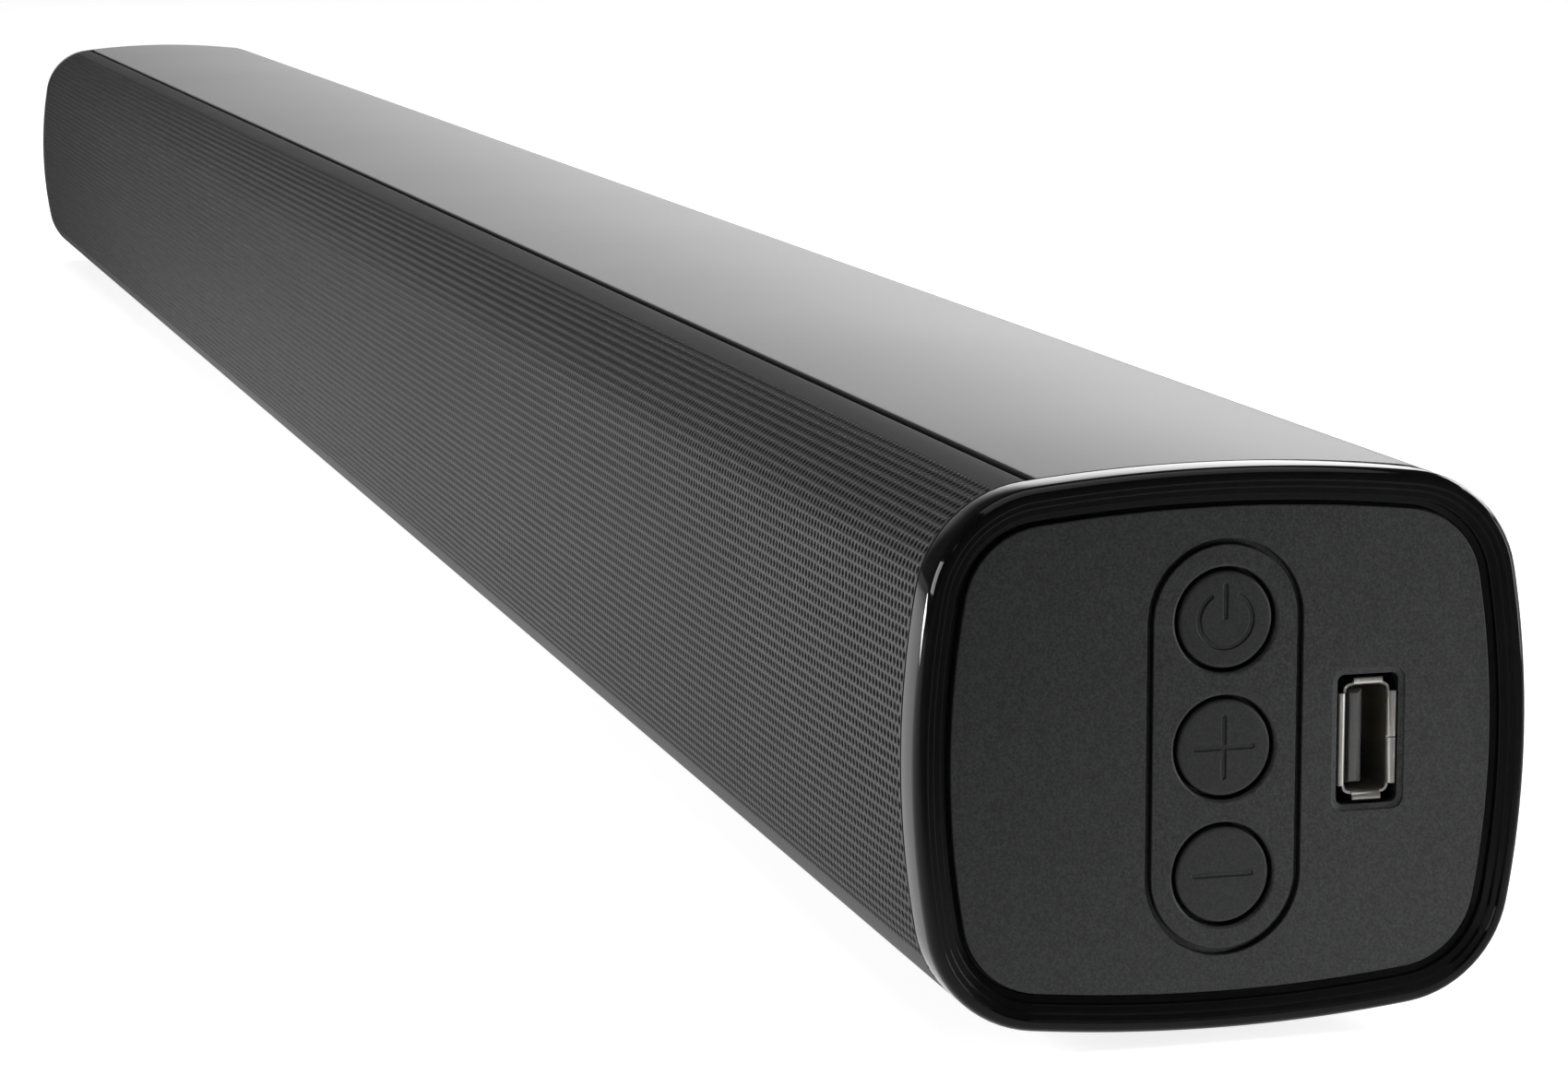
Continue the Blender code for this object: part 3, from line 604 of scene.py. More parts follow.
def make_housing():
    """Top, back and underside, with the bay, keyholes, ports, foot seats and screw holes."""
    flange = 2.2 * MM
    reach = HEIGHT / 2 - 8.5 * MM
    outer = part_of_outline(0, SEAM_BACK, front=False)
    inner = part_of_outline(WALL, SEAM_BACK + flange, front=False)
    section = [
        *outer,
        (SEAM_BACK, CENTRE_Z - reach), (SEAM_BACK + flange, CENTRE_Z - reach),
        *inner[::-1],
        (SEAM_BACK + flange, CENTRE_Z + reach), (SEAM_BACK, CENTRE_Z + reach),
    ]
    radii = dict.fromkeys((0, len(outer) - 1), 0.35 * MM)
    profile = softened([(y, z, radii.get(i, 0)) for i, (y, z) in enumerate(section)])
    ease = 0.15 * MM
    between = np.linspace(-SHELL_HALF + 12 * MM, SHELL_HALF - 12 * MM, 39)
    stations = [-SHELL_HALF, -SHELL_HALF + ease, *between, SHELL_HALF - ease, SHELL_HALF]
    loops = []
    for x in stations:
        shrink = ease if abs(x) == SHELL_HALF else 0.0
        across, upward = 1 - shrink / DEPTH * 2, 1 - shrink / HEIGHT * 2
        loops.append([(x, y * across, CENTRE_Z + (z - CENTRE_Z) * upward) for y, z in profile])
    housing = loft("housing_shell", loops)

    joined = [bay_block()]
    cuts = [*bay_cutters()]
    for side in HANDS.values():
        joined.append(keyhole_pad(side))
        cuts.append(loft(f"cut_end_{side}", [end_loop(2.6 * MM, d, side) for d in (0, 18.3 * MM)]))
        cuts.append(port_cutter(side))
        cuts.append(keyhole_cutter(f"cut_keyhole_{side}", side, 5.0 * MM, 2.5 * MM, 0.3 * MM))
        for row, y in FOOT_YS.items():
            seat = f"cut_seat_{side}_{row}"
            cuts.append(foot_body(seat, 30.6 * MM, 8.6 * MM, -1 * MM, 2.7 * MM, side, y))
        for level, rise in SCREW_RISES.items():
            cuts.append(screw_cutter(f"cut_screw_{side}_{level}", side, rise))
    combine(housing, joined, "UNION")
    combine(housing, cuts)
    even_shading(housing)
    place_piece(housing, "housing", "housing_plastic", "rear_housing")


def bay_block():
    """The block that the bay is cut into."""
    low = (-57 * MM, 26 * MM, BAY_Z - 17 * MM)
    return block("join_bay", low, (57 * MM, DEPTH / 2 - WALL, BAY_Z + 17 * MM))


def bay_cutters():
    """The bay with rounded corners and an eased rim, and a hole for each socket."""
    loops = []
    for grow, y in mm((0, 28), (0, 36.2), (0.9, 37.6), (0.9, 45)):
        shape = rounded_rectangle(110 * MM + 2 * grow, 30 * MM + 2 * grow, 3 * MM + grow)
        loops.append([(u, y, BAY_Z + v) for u, v in shape])
    yield loft("cut_bay", loops)
    profile = mm((0, -4), (5.3, -4), (5.3, -0.3), (5.7, 0.1), (5.7, 1), (0, 1))
    for name, x in SOCKET_XS.items():
        yield lathe(f"cut_{name}", profile, facing((x, BAY_FLOOR, BAY_Z), BACK), 48)


def port_cutter(side):
    """The hole for a bass port, with an eased rim."""
    profile = mm((0, 20), (14.5, 20), (14.5, 36.7), (15.2, 37.7), (15.2, 45), (0, 45))
    return lathe(f"cut_port_{side}", profile, at_back(side * PORT_X, CENTRE_Z), 96)


def keyhole_points(hole, slot):
    """A round hole of radius hole, with a slot of half-width slot rising from it."""
    points = []
    opening = math.asin(slot / hole)
    for angle in np.linspace(math.pi / 2 + opening, 5 * math.pi / 2 - opening, 41):
        points.append((hole * math.cos(angle), hole * math.sin(angle)))
    for angle in np.linspace(0, math.pi, 21):
        points.append((slot * math.cos(angle), KEYHOLE_RISE + slot * math.sin(angle)))
    return points


def keyhole_cutter(name, side, hole, slot, ease=0.0):
    """A keyhole through the back wall, wider by ease at the outer face."""
    loops = []
    for grow, y in ((0, 20 * MM), (0, 36.6 * MM), (ease, 37.2 * MM), (ease, 45 * MM)):
        shape = keyhole_points(hole + grow, slot + grow)
        loops.append([(side * KEYHOLE_X + u, y, KEYHOLE_Z + v) for u, v in shape])
    return loft(name, loops)


def keyhole_pad(side):
    """The flat inside the back wall that a hanger plate lies on."""
    low = (side * KEYHOLE_X - 16 * MM, 33.1 * MM, CENTRE_Z - 5 * MM)
    high = (side * KEYHOLE_X + 16 * MM, 34.5 * MM, CENTRE_Z + 21.5 * MM)
    return block(f"join_pad_{side}", low, high)


def screw_cutter(name, side, rise):
    """A clearance hole with an eased counterbore for the head."""
    profile = mm(
        (0, 25), (1.7, 25), (1.7, 35), (3.2, 35), (3.2, 36.2), (3.5, 36.8), (3.5, 45), (0, 45)
    )
    return lathe(name, profile, at_back(side * (HALF - SCREW_INSET), CENTRE_Z + rise), 40)


def foot_body(name, width, depth, low, high, side, y, ease=0.0):
    """An upright round-ended block with eased lower edges."""
    loops = []
    levels = ((ease, low), (0.0, low + ease), (0.0, high)) if ease else ((0.0, low), (0.0, high))
    for inset, z in levels:
        end = depth / 2 - inset - 0.05 * MM
        shape = rounded_rectangle(width - 2 * inset, depth - 2 * inset, end, 12)
        loops.append([(side * FOOT_X + u, y + v, z) for u, v in shape])
    return loft(name, loops)


def sheet_path():
    """Lengths, outer points and normals along the grille's front, from its top edge downwards."""
    fine, ways = outline_with_normals(300, 400)
    centre = fine - ways * (SHEET + BEND)
    front = centre[:, 0] < SEAM_FRONT - SHEET - BEND
    first = next(i for i in range(len(front)) if front[i] and not front[i - 1])
    order = [(first + i) % len(front) for i in range(int(front.sum()))]
    points, ways = fine[order], ways[order]
    length = np.concatenate([[0], np.cumsum(np.linalg.norm(np.diff(points, axis=0), axis=1))])
    return length, points, ways


def sheet_stations():
    """Stations down the grille sheet, as (outer point, inner point) pairs: those above the
    perforated rows, the lines between the rows, and those below."""
    length, points, ways = sheet_path()

    def at(distance):
        p = np.array([np.interp(distance, length, points[:, i]) for i in (0, 1)])
        n = np.array([np.interp(distance, length, ways[:, i]) for i in (0, 1)])
        n /= np.linalg.norm(n)
        return p, p - n * SHEET

    lowest = np.interp(CENTRE_Z - LAST_ROW_Z, -points[:, 1], length)
    rows = round((lowest - FIRST_ROW) / ROW_PITCH)
    rows += 1 - rows % 2
    lines = FIRST_ROW + (np.arange(rows + 1) - 0.5) * ROW_PITCH
    top = [at(d) for d in np.linspace(0, lines[0], 4)[:-1]]
    bottom = [at(d) for d in np.linspace(lines[-1], length[-1], 12)[1:]]
    return (
        turned_edge(points[0], ways[0], 1) + top,
        [at(d) for d in lines],
        bottom + turned_edge(points[-1], ways[-1], -1),
    )


def turned_edge(point, way, up):
    """The hem at one edge of the sheet, from its free end (up = 1) or to it (up = -1)."""
    centre = point - way * (SHEET + BEND)
    bend = []
    for angle in np.linspace(0.0, math.atan2(way[1] * up, way[0]), 9)[:-1]:
        n = np.array((math.cos(angle), math.sin(angle) * up))
        bend.append((centre + n * (SHEET + BEND), centre + n * BEND))
    free = np.array((0, -1.4 * MM * up))
    hem = [(bend[0][0] + free, bend[0][1] + free)] + bend
    return hem if up == 1 else hem[::-1]


def make_grille():
    """One perforated sheet, built in lengths that meet along a zigzag between holes."""
    stations = sheet_stations()
    cuts = [round(HOLE_COUNT * i / SHEET_SEGMENTS) for i in range(SHEET_SEGMENTS + 1)]
    for number, (first, last) in enumerate(zip(cuts, cuts[1:]), start=1):
        piece = sheet_length(f"grille_sheet_{number}", first, last, *stations)
        place_piece(piece, "grille", "grille_paint", "front_grille")


class SheetBuilder:
    """Collects the points and faces of one side of the sheet. Every point keeps its inner
    partner."""

    def __init__(self):
        self.outer, self.inner = [], []
        self.faces = {"both": [], "outer": [], "inner": []}
        self.count = 0

    def add_points(self, x, outer, inner):
        """x is an array, outer and inner are (y, z) arrays of the same length or single points."""
        x = np.atleast_1d(x).astype(float)
        for store, yz in ((self.outer, outer), (self.inner, inner)):
            points = np.empty((len(x), 3))
            points[:, 0] = x
            points[:, 1:] = yz
            store.append(points)
        numbers = np.arange(self.count, self.count + len(x))
        self.count += len(x)
        return numbers

    def add_faces(self, corners, side="both"):
        """corners is an array of face rows."""
        if len(corners):
            self.faces[side].append(np.asarray(corners))


def sheet_length(name, first, last, top, middle, bottom):
    """The sheet between two hole numbers. Rows of holes are staggered by half a pitch."""
    build = SheetBuilder()
    low, width = 2 * first, 2 * (last - first)
    ends = first == 0, last == HOLE_COUNT
    columns = np.arange(low, low + width + (1 if ends[1] else 2))
    xs = -SHELL_HALF + columns * SHELL_HALF / HOLE_COUNT
    lines = [build.add_points(xs, *station) for station in middle]
    for row, (above, below) in enumerate(zip(middle, middle[1:])):
        add_row(build, row % 2, lines[row], lines[row + 1], xs, above, below, ends, width)
    coarse = np.array([*range(0, width, 8), width])
    for stations, line, flip in ((top[::-1], lines[0], True), (bottom, lines[-1], False)):
        previous = None
        for station in stations:
            row = build.add_points(xs[coarse], *station)
            for a in range(len(coarse) - 1):
                if previous is None:
                    face = [*line[coarse[a] : coarse[a + 1] + 1], row[a + 1], row[a]]
                else:
                    face = [previous[a], previous[a + 1], row[a + 1], row[a]]
                build.add_faces([face[::-1] if flip else face])
            previous = row
    return shell_from(build, name)


def add_row(build, shift, top, low, xs, above, below, ends, width):
    """The cells of one row between two lines of points, with eight faces round each hole."""
    middle_outer, middle_inner = (above[0] + below[0]) / 2, (above[1] + below[1]) / 2
    down_outer, down_inner = (below[0] - above[0]) / ROW_PITCH, (below[1] - above[1]) / ROW_PITCH
    half_left, half_right = shift and ends[0], shift and ends[1]
    starts = np.arange(shift, width - (1 if half_right else 0), 2)
    borders = np.arange(shift, width if half_right else width + shift + 1, 2)
    sides = dict(zip(borders, build.add_points(xs[borders], middle_outer, middle_inner)))
    hub = xs[starts + 1]
    eased = middle_outer + (middle_inner - middle_outer) * HOLE_EASE / SHEET
    wider = 1 + HOLE_EASE / HOLE_RADIUS
    mouth, bore = [], []
    for turn in np.radians((-135, -90, -45, 0, 45, 90, 135, 180)):
        u, v = math.cos(turn) * HOLE_RADIUS, math.sin(turn) * HOLE_RADIUS
        inner = middle_inner + down_inner * v
        outer = middle_outer + down_outer * v * wider
        mouth.append(build.add_points(hub + u * wider, outer, inner))
        bore.append(build.add_points(hub + u, eased + down_outer * v, inner))
    left = np.array([sides[s] for s in starts])
    right = np.array([sides[s + 2] for s in starts])
    rim = [
        top[starts], top[starts + 1], top[starts + 2], right,
        low[starts + 2], low[starts + 1], low[starts], left,
    ]
    for i in range(8):
        j = (i + 1) % 8
        build.add_faces(np.column_stack([rim[i], mouth[i], mouth[j], rim[j]]), "outer")
        build.add_faces(np.column_stack([mouth[i], bore[i], bore[j], mouth[j]]), "outer")
        build.add_faces(np.column_stack([rim[i], bore[i], bore[j], rim[j]]), "inner")
    if half_left:
        build.add_faces([[top[0], low[0], low[1], sides[1], top[1]]])
    if half_right:
        last = width - 1
        build.add_faces([[top[last], sides[last], low[last], low[width], top[width]]])


def face_arrays(lists):
    """Corner numbers, and each face's first corner and size."""
    corners = np.concatenate([faces.reshape(-1) for faces in lists])
    sizes = np.concatenate([np.full(len(faces), faces.shape[1]) for faces in lists])
    return corners, np.cumsum(sizes) - sizes, sizes


def shell_from(build, name):
    """Outer faces, inner faces the other way round, and walls along every open edge."""
    outer, inner = np.concatenate(build.outer), np.concatenate(build.inner)
    corners, starts, sizes = face_arrays(build.faces["both"] + build.faces["outer"])
    total = len(corners)
    following = np.arange(total) + 1
    following[starts + sizes - 1] = starts
    a, b = corners, corners[following]
    key = np.minimum(a, b).astype(np.int64) * build.count + np.maximum(a, b)
    _, where, uses = np.unique(key, return_index=True, return_counts=True)
    a, b = a[where[uses == 1]], b[where[uses == 1]]
    walls = np.column_stack([b, a, a + build.count, b + build.count])
    within, firsts, counts = face_arrays(build.faces["both"] + build.faces["inner"])
    backwards = (2 * firsts + counts - 1).repeat(counts) - np.arange(len(within))
    corners = np.concatenate([corners, within[backwards] + build.count, walls.reshape(-1)])
    wall_starts = total + len(within) + 4 * np.arange(len(walls))
    starts = np.concatenate([starts, firsts + total, wall_starts])
    points = np.concatenate([outer, inner])
    points[:, 2] += CENTRE_Z
    used, corners = np.unique(corners, return_inverse=True)
    mesh = bpy.data.meshes.new(name)
    mesh.vertices.add(len(used))
    mesh.vertices.foreach_set("co", points[used].reshape(-1).astype(np.float32))
    mesh.loops.add(len(corners))
    mesh.loops.foreach_set("vertex_index", corners.reshape(-1).astype(np.int32))
    mesh.polygons.add(len(starts))
    mesh.polygons.foreach_set("loop_start", starts.astype(np.int32))
    mesh.update(calc_edges=True)
    mesh.validate()
    mesh.shade_smooth()
    mesh.set_sharp_from_angle(angle=math.radians(50))
    piece = bpy.data.objects.new(name, mesh)
    bpy.context.scene.collection.objects.link(piece)
    return piece


# ---------------------------------------------------------------- the ends


def make_rim(hand, side):
    """The polished frame: collar, rounded edge, crest, ledge, channel, shelf and spigot."""
    rounding = [
        (1.0 * MM * (1 - math.cos(t)), 1.6 * MM * (1 - math.sin(t)), 0)
        for t in np.linspace(0, math.pi / 2, 9)[1:-1]
    ]
    profile = [
        (0, COLLAR, 0.15 * MM),
        (0, 1.6 * MM, 0),
        *rounding,
        *mm(
            (1.0, 0, 0), (1.5, 0, 0.16), (1.62, 0.38, 0.08), (2.3, 0.44, 0.16),
            (2.42, 0.86, 0.08), (3.25, 0.94, 0.16), (3.4, 1.6, 0.1), (4.25, 1.75, 0.1),
            (4.25, 2.1, 0), (3.3, 2.1, 0), (3.3, 3.9, 0), (6.5, 3.9, 0),
            (6.5, 6.0, 0), (4.9, 6.0, 0), (4.9, 18, 0), (2.9, 18, 0),
        ),
        (2.9 * MM, COLLAR, 0),
    ]
    loops = [end_loop(inset, depth, side) for inset, depth in softened(profile)]
    rim = loft(f"rim_frame_{hand}", loops, ring=True, angle=40)
    holes = []
    for level, rise in SCREW_RISES.items():
        place = facing((side * (HALF - SCREW_INSET), 25 * MM, CENTRE_Z + rise), BACK)
        profile = mm((0, 0), (1.6, 0), (1.6, 15), (0, 15))
        holes.append(lathe(f"cut_{hand}_{level}", profile, place, 24))
    combine(rim, holes)
    place_piece(rim, "rim", "rim_plastic", f"end_rim_{hand}")


def panel_plate(name, side):
    """The plate that closes an end, with its edge behind the rim's inner ledge."""
    profile = softened_line([
        (12 * MM, PANEL_DEPTH, 0),
        (4.45 * MM, PANEL_DEPTH, 0.22 * MM),
        *mm((4.4, 2.3, 0), (3.6, 2.3, 0), (3.6, 3.6, 0)),
    ])
    return loft(name, [end_loop(inset, depth, side) for inset, depth in profile[1:]], angle=30)


def oval_loop(radius, depth):
    """A round-ended loop about the three buttons."""
    points = []
    for rise, first in ((BUTTON_PITCH, 0), (-BUTTON_PITCH, math.pi)):
        for angle in np.linspace(first, first + math.pi, 33):
            y, z = radius * math.cos(angle), radius * math.sin(angle)
            points.append((end_x(depth), y, CONTROL_Z + rise + z))
    return points


def about_socket(shape, depth):
    """(y, z) points about the USB socket's centre, at a depth into the right end."""
    return [(end_x(depth), USB_Y + y, CONTROL_Z + z) for y, z in shape]


def make_control_panel():
    """The right-hand panel, with its oval groove, button holes and recess for the USB socket."""
    panel = panel_plate("panel_right", 1)
    face = PANEL_DEPTH
    half_groove = [(0.33, 1.1, 0.10), (0.38, 0.10, 0), (0.50, -0.02, 0), (0.50, -1, 0)]
    groove = softened([
        *[(-u * MM, face + v * MM, r * MM) for u, v, r in half_groove[::-1]],
        *[(u * MM, face + v * MM, r * MM) for u, v, r in half_groove],
    ])
    cuts = [loft("cut_oval", [oval_loop(9.15 * MM + u, d) for u, d in groove], ring=True)]
    rounding = [
        (6.15 * MM + 0.45 * MM * (1 - math.sin(t)), face + 0.55 * MM * (1 - math.cos(t)))
        for t in np.linspace(0, math.pi / 2, 6)
    ]
    hole = mm((0, 0), (6.75, 0)) + [(6.75 * MM, face - 0.02 * MM), *rounding]
    hole += mm((6.15, 10), (0, 10))
    for rise in (BUTTON_PITCH, 0.0, -BUTTON_PITCH):
        place = facing((HALF, 0, CONTROL_Z + rise), -RIGHT)
        cuts.append(lathe(f"cut_hole_{rise:.3f}", hole, place, 72))
    recess = mm(
        # width, height, corner radius, depth
        (9.3, 17.15, 1.65, 0.0), (9.3, 17.15, 1.65, 0.97), (9.0, 16.85, 1.5, 1.03),
        (8.82, 16.67, 1.4, 1.25), (8.6, 16.45, 1.3, 1.3), (7.6, 15.45, 0.9, 1.42),
        (7.42, 15.27, 0.8, 1.62), (7.4, 15.25, 0.8, 10.0),
    )
    loops = [about_socket(rounded_rectangle(*row[:3]), row[3]) for row in recess]
    cuts.append(loft("cut_usb", loops))
    combine(panel, cuts)
    post = mm((0, 2.6), (2, 2.6), (2, 16.5), (0, 16.5))
    posts = []
    for y, z in mm((-10, -20), (-10, 20), (22, -20), (22, 20)):
        place = facing((HALF, y, CENTRE_Z + z), -RIGHT)
        posts.append(lathe(f"join_post_{y:.3f}_{z:.3f}", post, place, 24))
    combine(panel, posts, "UNION")
    even_shading(panel)
    place_piece(panel, "panel", "panel_plastic", "end_panel_right")


def make_plain_panel():
    panel = panel_plate("panel_left", -1)
    even_shading(panel)
    place_piece(panel, "panel", "panel_plastic", "end_panel_left")


def channel(name, path, centre_z):
    """A cutter for a shallow engraved line along (y, z) points on a button's face."""
    path = np.array(path, float)
    ways = np.gradient(path, axis=0)
    ways /= np.linalg.norm(ways, axis=1)[:, None]
    across = np.column_stack([-ways[:, 1], ways[:, 0]])
    loops = []
    for width, depth in mm((0.42, 0.6), (0.39, 1.19), (0.32, 1.24), (0.22, 1.42)):
        left, right = path + across * width, path - across * width
        tip, tail = [], []
        for angle in np.linspace(0, math.pi, 9)[1:-1]:
            cos, sin = math.cos(angle), math.sin(angle)
            tip.append(path[-1] + width * (across[-1] * cos + ways[-1] * sin))
            tail.append(path[0] - width * (across[0] * cos + ways[0] * sin))
        ring = [*left, *tip, *right[::-1], *tail]
        loops.append([(end_x(depth), y, centre_z + z) for y, z in ring])
    return loft(name, loops)


def straight(y0, z0, y1, z1):
    """Points along a straight line given in millimetres."""
    return mm(*[(y0 + (y1 - y0) * t, z0 + (z1 - z0) * t) for t in np.linspace(0, 1, 5)])


def signs():
    """The engraved lines on each button."""
    gap = math.radians(33)
    turns = np.linspace(math.pi / 2 + gap, 5 * math.pi / 2 - gap, 49)
    ring = [(3.25 * MM * math.cos(a), 3.25 * MM * math.sin(a)) for a in turns]
    return {
        "power": (BUTTON_PITCH, [ring, straight(0, 0.3, 0, 4.0)]),
        "volume_up": (0.0, [straight(-3.5, 0, 3.5, 0), straight(0, -3.5, 0, 3.5)]),
        "volume_down": (-BUTTON_PITCH, [straight(-3.5, 0, 3.5, 0)]),
    }


def make_buttons():
    profile = softened_line(mm(
        (0, 1.2, 0), (5.72, 1.2, 0.5), (5.72, 3.9, 0), (6.9, 3.9, 0.1),
        (6.9, 4.9, 0.1), (2, 4.9, 0), (2, 9, 0), (0, 9, 0),
    ), 5)
    for name, (rise, lines) in signs().items():
        place = facing((HALF, 0, CONTROL_Z + rise), -RIGHT)
        button = lathe(f"key_{name}", profile, place, 96, angle=30)
        cuts = [channel(f"cut_{name}_{i}", line, CONTROL_Z + rise) for i, line in enumerate(lines)]
        combine(button, cuts, angle=18)
        even_shading(button)
        place_piece(button, "button", "button_plastic", f"button_{name}", body=f"{name}_key")
        dress_node(f"switch_plunger_{name}", "tongue")
        dress_node(f"switch_body_{name}", "dark_steel")


def make_usb_socket():
    """The receptacle: a folded shell with flared lips, a tapered tongue and sprung contacts."""
    place_piece(usb_shell(), "nickel", "usb_metal", "usb_shell")
    tongue = loft("usb_blade", tongue_loops(), angle=25)
    modifier = tongue.modifiers.new("edges", "BEVEL")
    modifier.width = 0.08 * MM
    modifier.segments = 2
    modifier.limit_method = "ANGLE"
    apply_modifiers(tongue, 30)
    place_piece(tongue, "tongue", "usb_plastic", "usb_tongue")
    for number, rise in enumerate((3.5, 1.0, -1.0, -3.5), start=1):
        contact = usb_contact(f"usb_spring_{number}", rise * MM)
        place_piece(contact, "gold", "contact_plate", f"usb_contact_{number}")


def usb_shell():
    """A rounded tube of sheet metal whose four sides end in lips that flare outwards."""
    width, height, radius, wall = 5.7 * MM, 13.1 * MM, 0.9 * MM, 0.3 * MM
    corner_steps = 10
    outside = np.array(rounded_rectangle(width, height, radius, corner_steps))
    inside = rounded_rectangle(width - 2 * wall, height - 2 * wall, radius - wall, corner_steps)
    inside = np.array(inside)
    ring, inner_ring, flare, out = [], [], [], []
    for i in range(len(outside)):
        ring.append(outside[i])
        inner_ring.append(inside[i])
        flare.append(0.0)
        out.append((0.0, 0.0))
        corner, ended = divmod(i + 1, corner_steps + 1)
        if ended == 0:
            following = (i + 1) % len(outside)
            side, inner_side = outside[following] - outside[i], inside[following] - inside[i]
            length = np.linalg.norm(side)
            for share, reach in lip_steps(length, seam=corner == 4):
                ring.append(outside[i] + side * share)
                inner_ring.append(inside[i] + inner_side * share)
                flare.append(reach)
                out.append((side[1] / length, -side[0] / length))
    ring, inner_ring, flare, out = map(np.array, (ring, inner_ring, flare, out))

    def loop(points, grow, depth, lip_depth):
        shifted = points + out * (grow * flare)[:, None]
        depths = depth + (lip_depth - depth) * flare
        return [(end_x(d), USB_Y + u, CONTROL_Z + v) for (u, v), d in zip(shifted, depths)]

    def flared(points, turn, grow, depth, drop, lip_rise):
        """A loop part of the way round the quarter turn of the lips."""
        grow *= 1 - math.cos(turn * math.pi / 2)
        lip_depth = depth - lip_rise * math.sin(turn * math.pi / 2)
        return loop(points, grow, depth - drop * turn, lip_depth)

    back = 16.5 * MM
    rows = [loop(ring, 0, back, back), loop(ring, 0, 2.45 * MM, 2.45 * MM)]
    for turn in np.linspace(0.2, 1, 5):
        rows.append(flared(ring, turn, 0.72 * MM, 2.45 * MM, 0.55 * MM, 0.95 * MM))
    rows.append(loop(ring, 0.62 * MM, 1.85 * MM, 1.34 * MM))
    for turn in np.linspace(1, 0, 6):
        rows.append(flared(inner_ring, turn, 0.62 * MM, 2.3 * MM, 0.45 * MM, 0.98 * MM))
    rows.append(loop(inner_ring, 0, back, back))
    return loft("usb_lips", rows, ring=True, angle=40)


def lip_steps(length, seam):
    """(share of a side, how far it flares) pairs, with square ends and a slit where the shell's
    edges meet."""
    end = 0.12 * MM / length
    steps = [(end, 0.0), (end * 1.5, 1.0)]
    if seam:
        slit = 0.07 * MM / length
        steps += [(0.5 - slit, 1.0), (0.5 - slit * 0.8, 0.0)]
        steps += [(0.5 + slit * 0.8, 0.0), (0.5 + slit, 1.0)]
    return steps + [(1 - end * 1.5, 1.0), (1 - end, 0.0)]


def tongue_loops():
    """The blade from its tapered tip back into its base."""
    stations = mm(
        # depth, front y, rear y, half height
        (2.6, -1.75, -0.75, 5.2),
        (3.4, -1.85, 0.05, 5.55),
        (13.5, -1.85, 0.05, 5.55),
        (13.5, -2.2, 2.2, 5.9),
        (16.5, -2.2, 2.2, 5.9),
    )
    return [
        about_socket(((low, -half), (high, -half), (high, half), (low, half)), depth)
        for depth, low, high, half in stations
    ]


def usb_contact(name, rise):
    """A strip that lies along the blade and bows away from it near its tip."""
    half, sheet = 0.5 * MM, 0.22 * MM
    loops = []
    for depth in np.linspace(13.2, 4.2, 24):
        y = (0.62 * math.exp(-(((depth - 6.2) / 1.1) ** 2)) - 0.15) * MM
        shape = (
            (y, rise - half), (y + sheet, rise - half), (y + sheet, rise + half), (y, rise + half)
        )
        loops.append(about_socket(shape, depth * MM))
    return loft(name, loops, angle=30)


# ---------------------------------------------------------------- back and underside


def make_ports():
    profile = softened(mm(
        (14.2, 36.4, 0.4), (14.2, 33.0, 0), (12.4, 31.0, 0), (12.4, -6.0, 0),
        (11.0, -6.0, 0), (11.0, 30.0, 6), (12.4, 35.6, 2),
    ), 7)
    for hand, side in HANDS.items():
        place = at_back(side * PORT_X, CENTRE_Z)
        port = lathe(f"port_tube_{hand}", profile, place, 96, closed=True)
        place_piece(port, "port", "port_plastic", f"bass_port_{hand}")


def make_keyhole_plates():
    for hand, side in HANDS.items():
        x = side * KEYHOLE_X
        low = (x - 14 * MM, 31.6 * MM, CENTRE_Z - 3 * MM)
        high = (x + 14 * MM, 32.8 * MM, CENTRE_Z + 20 * MM)
        plate = block(f"hanger_{hand}", low, high, 0.15 * MM)
        combine(plate, [keyhole_cutter(f"cut_plate_{hand}", side, 4.6 * MM, 2.2 * MM)])
        place_piece(plate, "steel", "keyhole_steel", f"keyhole_plate_{hand}")


def make_feet():
    for hand, side in HANDS.items():
        for row, y in FOOT_YS.items():
            name = f"pad_{row}_{hand}"
            foot = foot_body(name, 30 * MM, 8 * MM, 0, 2.4 * MM, side, y, 0.4 * MM)
            place_piece(foot, "rubber", "foot_rubber", f"foot_{row}_{hand}")


def make_screws():
    """Pan-head screws with a cross recess."""
    profile = [(0, 26), (1.25, 27)]
    for step in range(11):
        low = 27.3 + step * 0.72
        profile += [(1.28, low), (1.02, low + 0.36)]
    profile += [(1.28, 35.2), (2.8, 35.3), (2.8, 35.6)]
    for t in np.linspace(0.2, 1, 6) * math.pi / 2:
        profile.append((2.8 * math.cos(t), 35.6 + 0.7 * math.sin(t)))
    profile = mm(*profile)
    for hand, side in HANDS.items():
        for level, rise in SCREW_RISES.items():
            x, z = side * (HALF - SCREW_INSET), CENTRE_Z + rise
            screw = lathe(f"screw_{hand}_{level}", profile, at_back(x, z), 32)
            arms = []
            for wide, tall in mm((1.6, 0.28), (0.28, 1.6)):
                low, high = (x - wide, 35.5 * MM, z - tall), (x + wide, 40 * MM, z + tall)
                arms.append(block(f"cut_cross_{hand}_{level}_{len(arms)}", low, high))
            combine(screw, arms)
            place_piece(screw, "dark_steel", "screw_steel", f"cap_screw_{hand}_{level}")


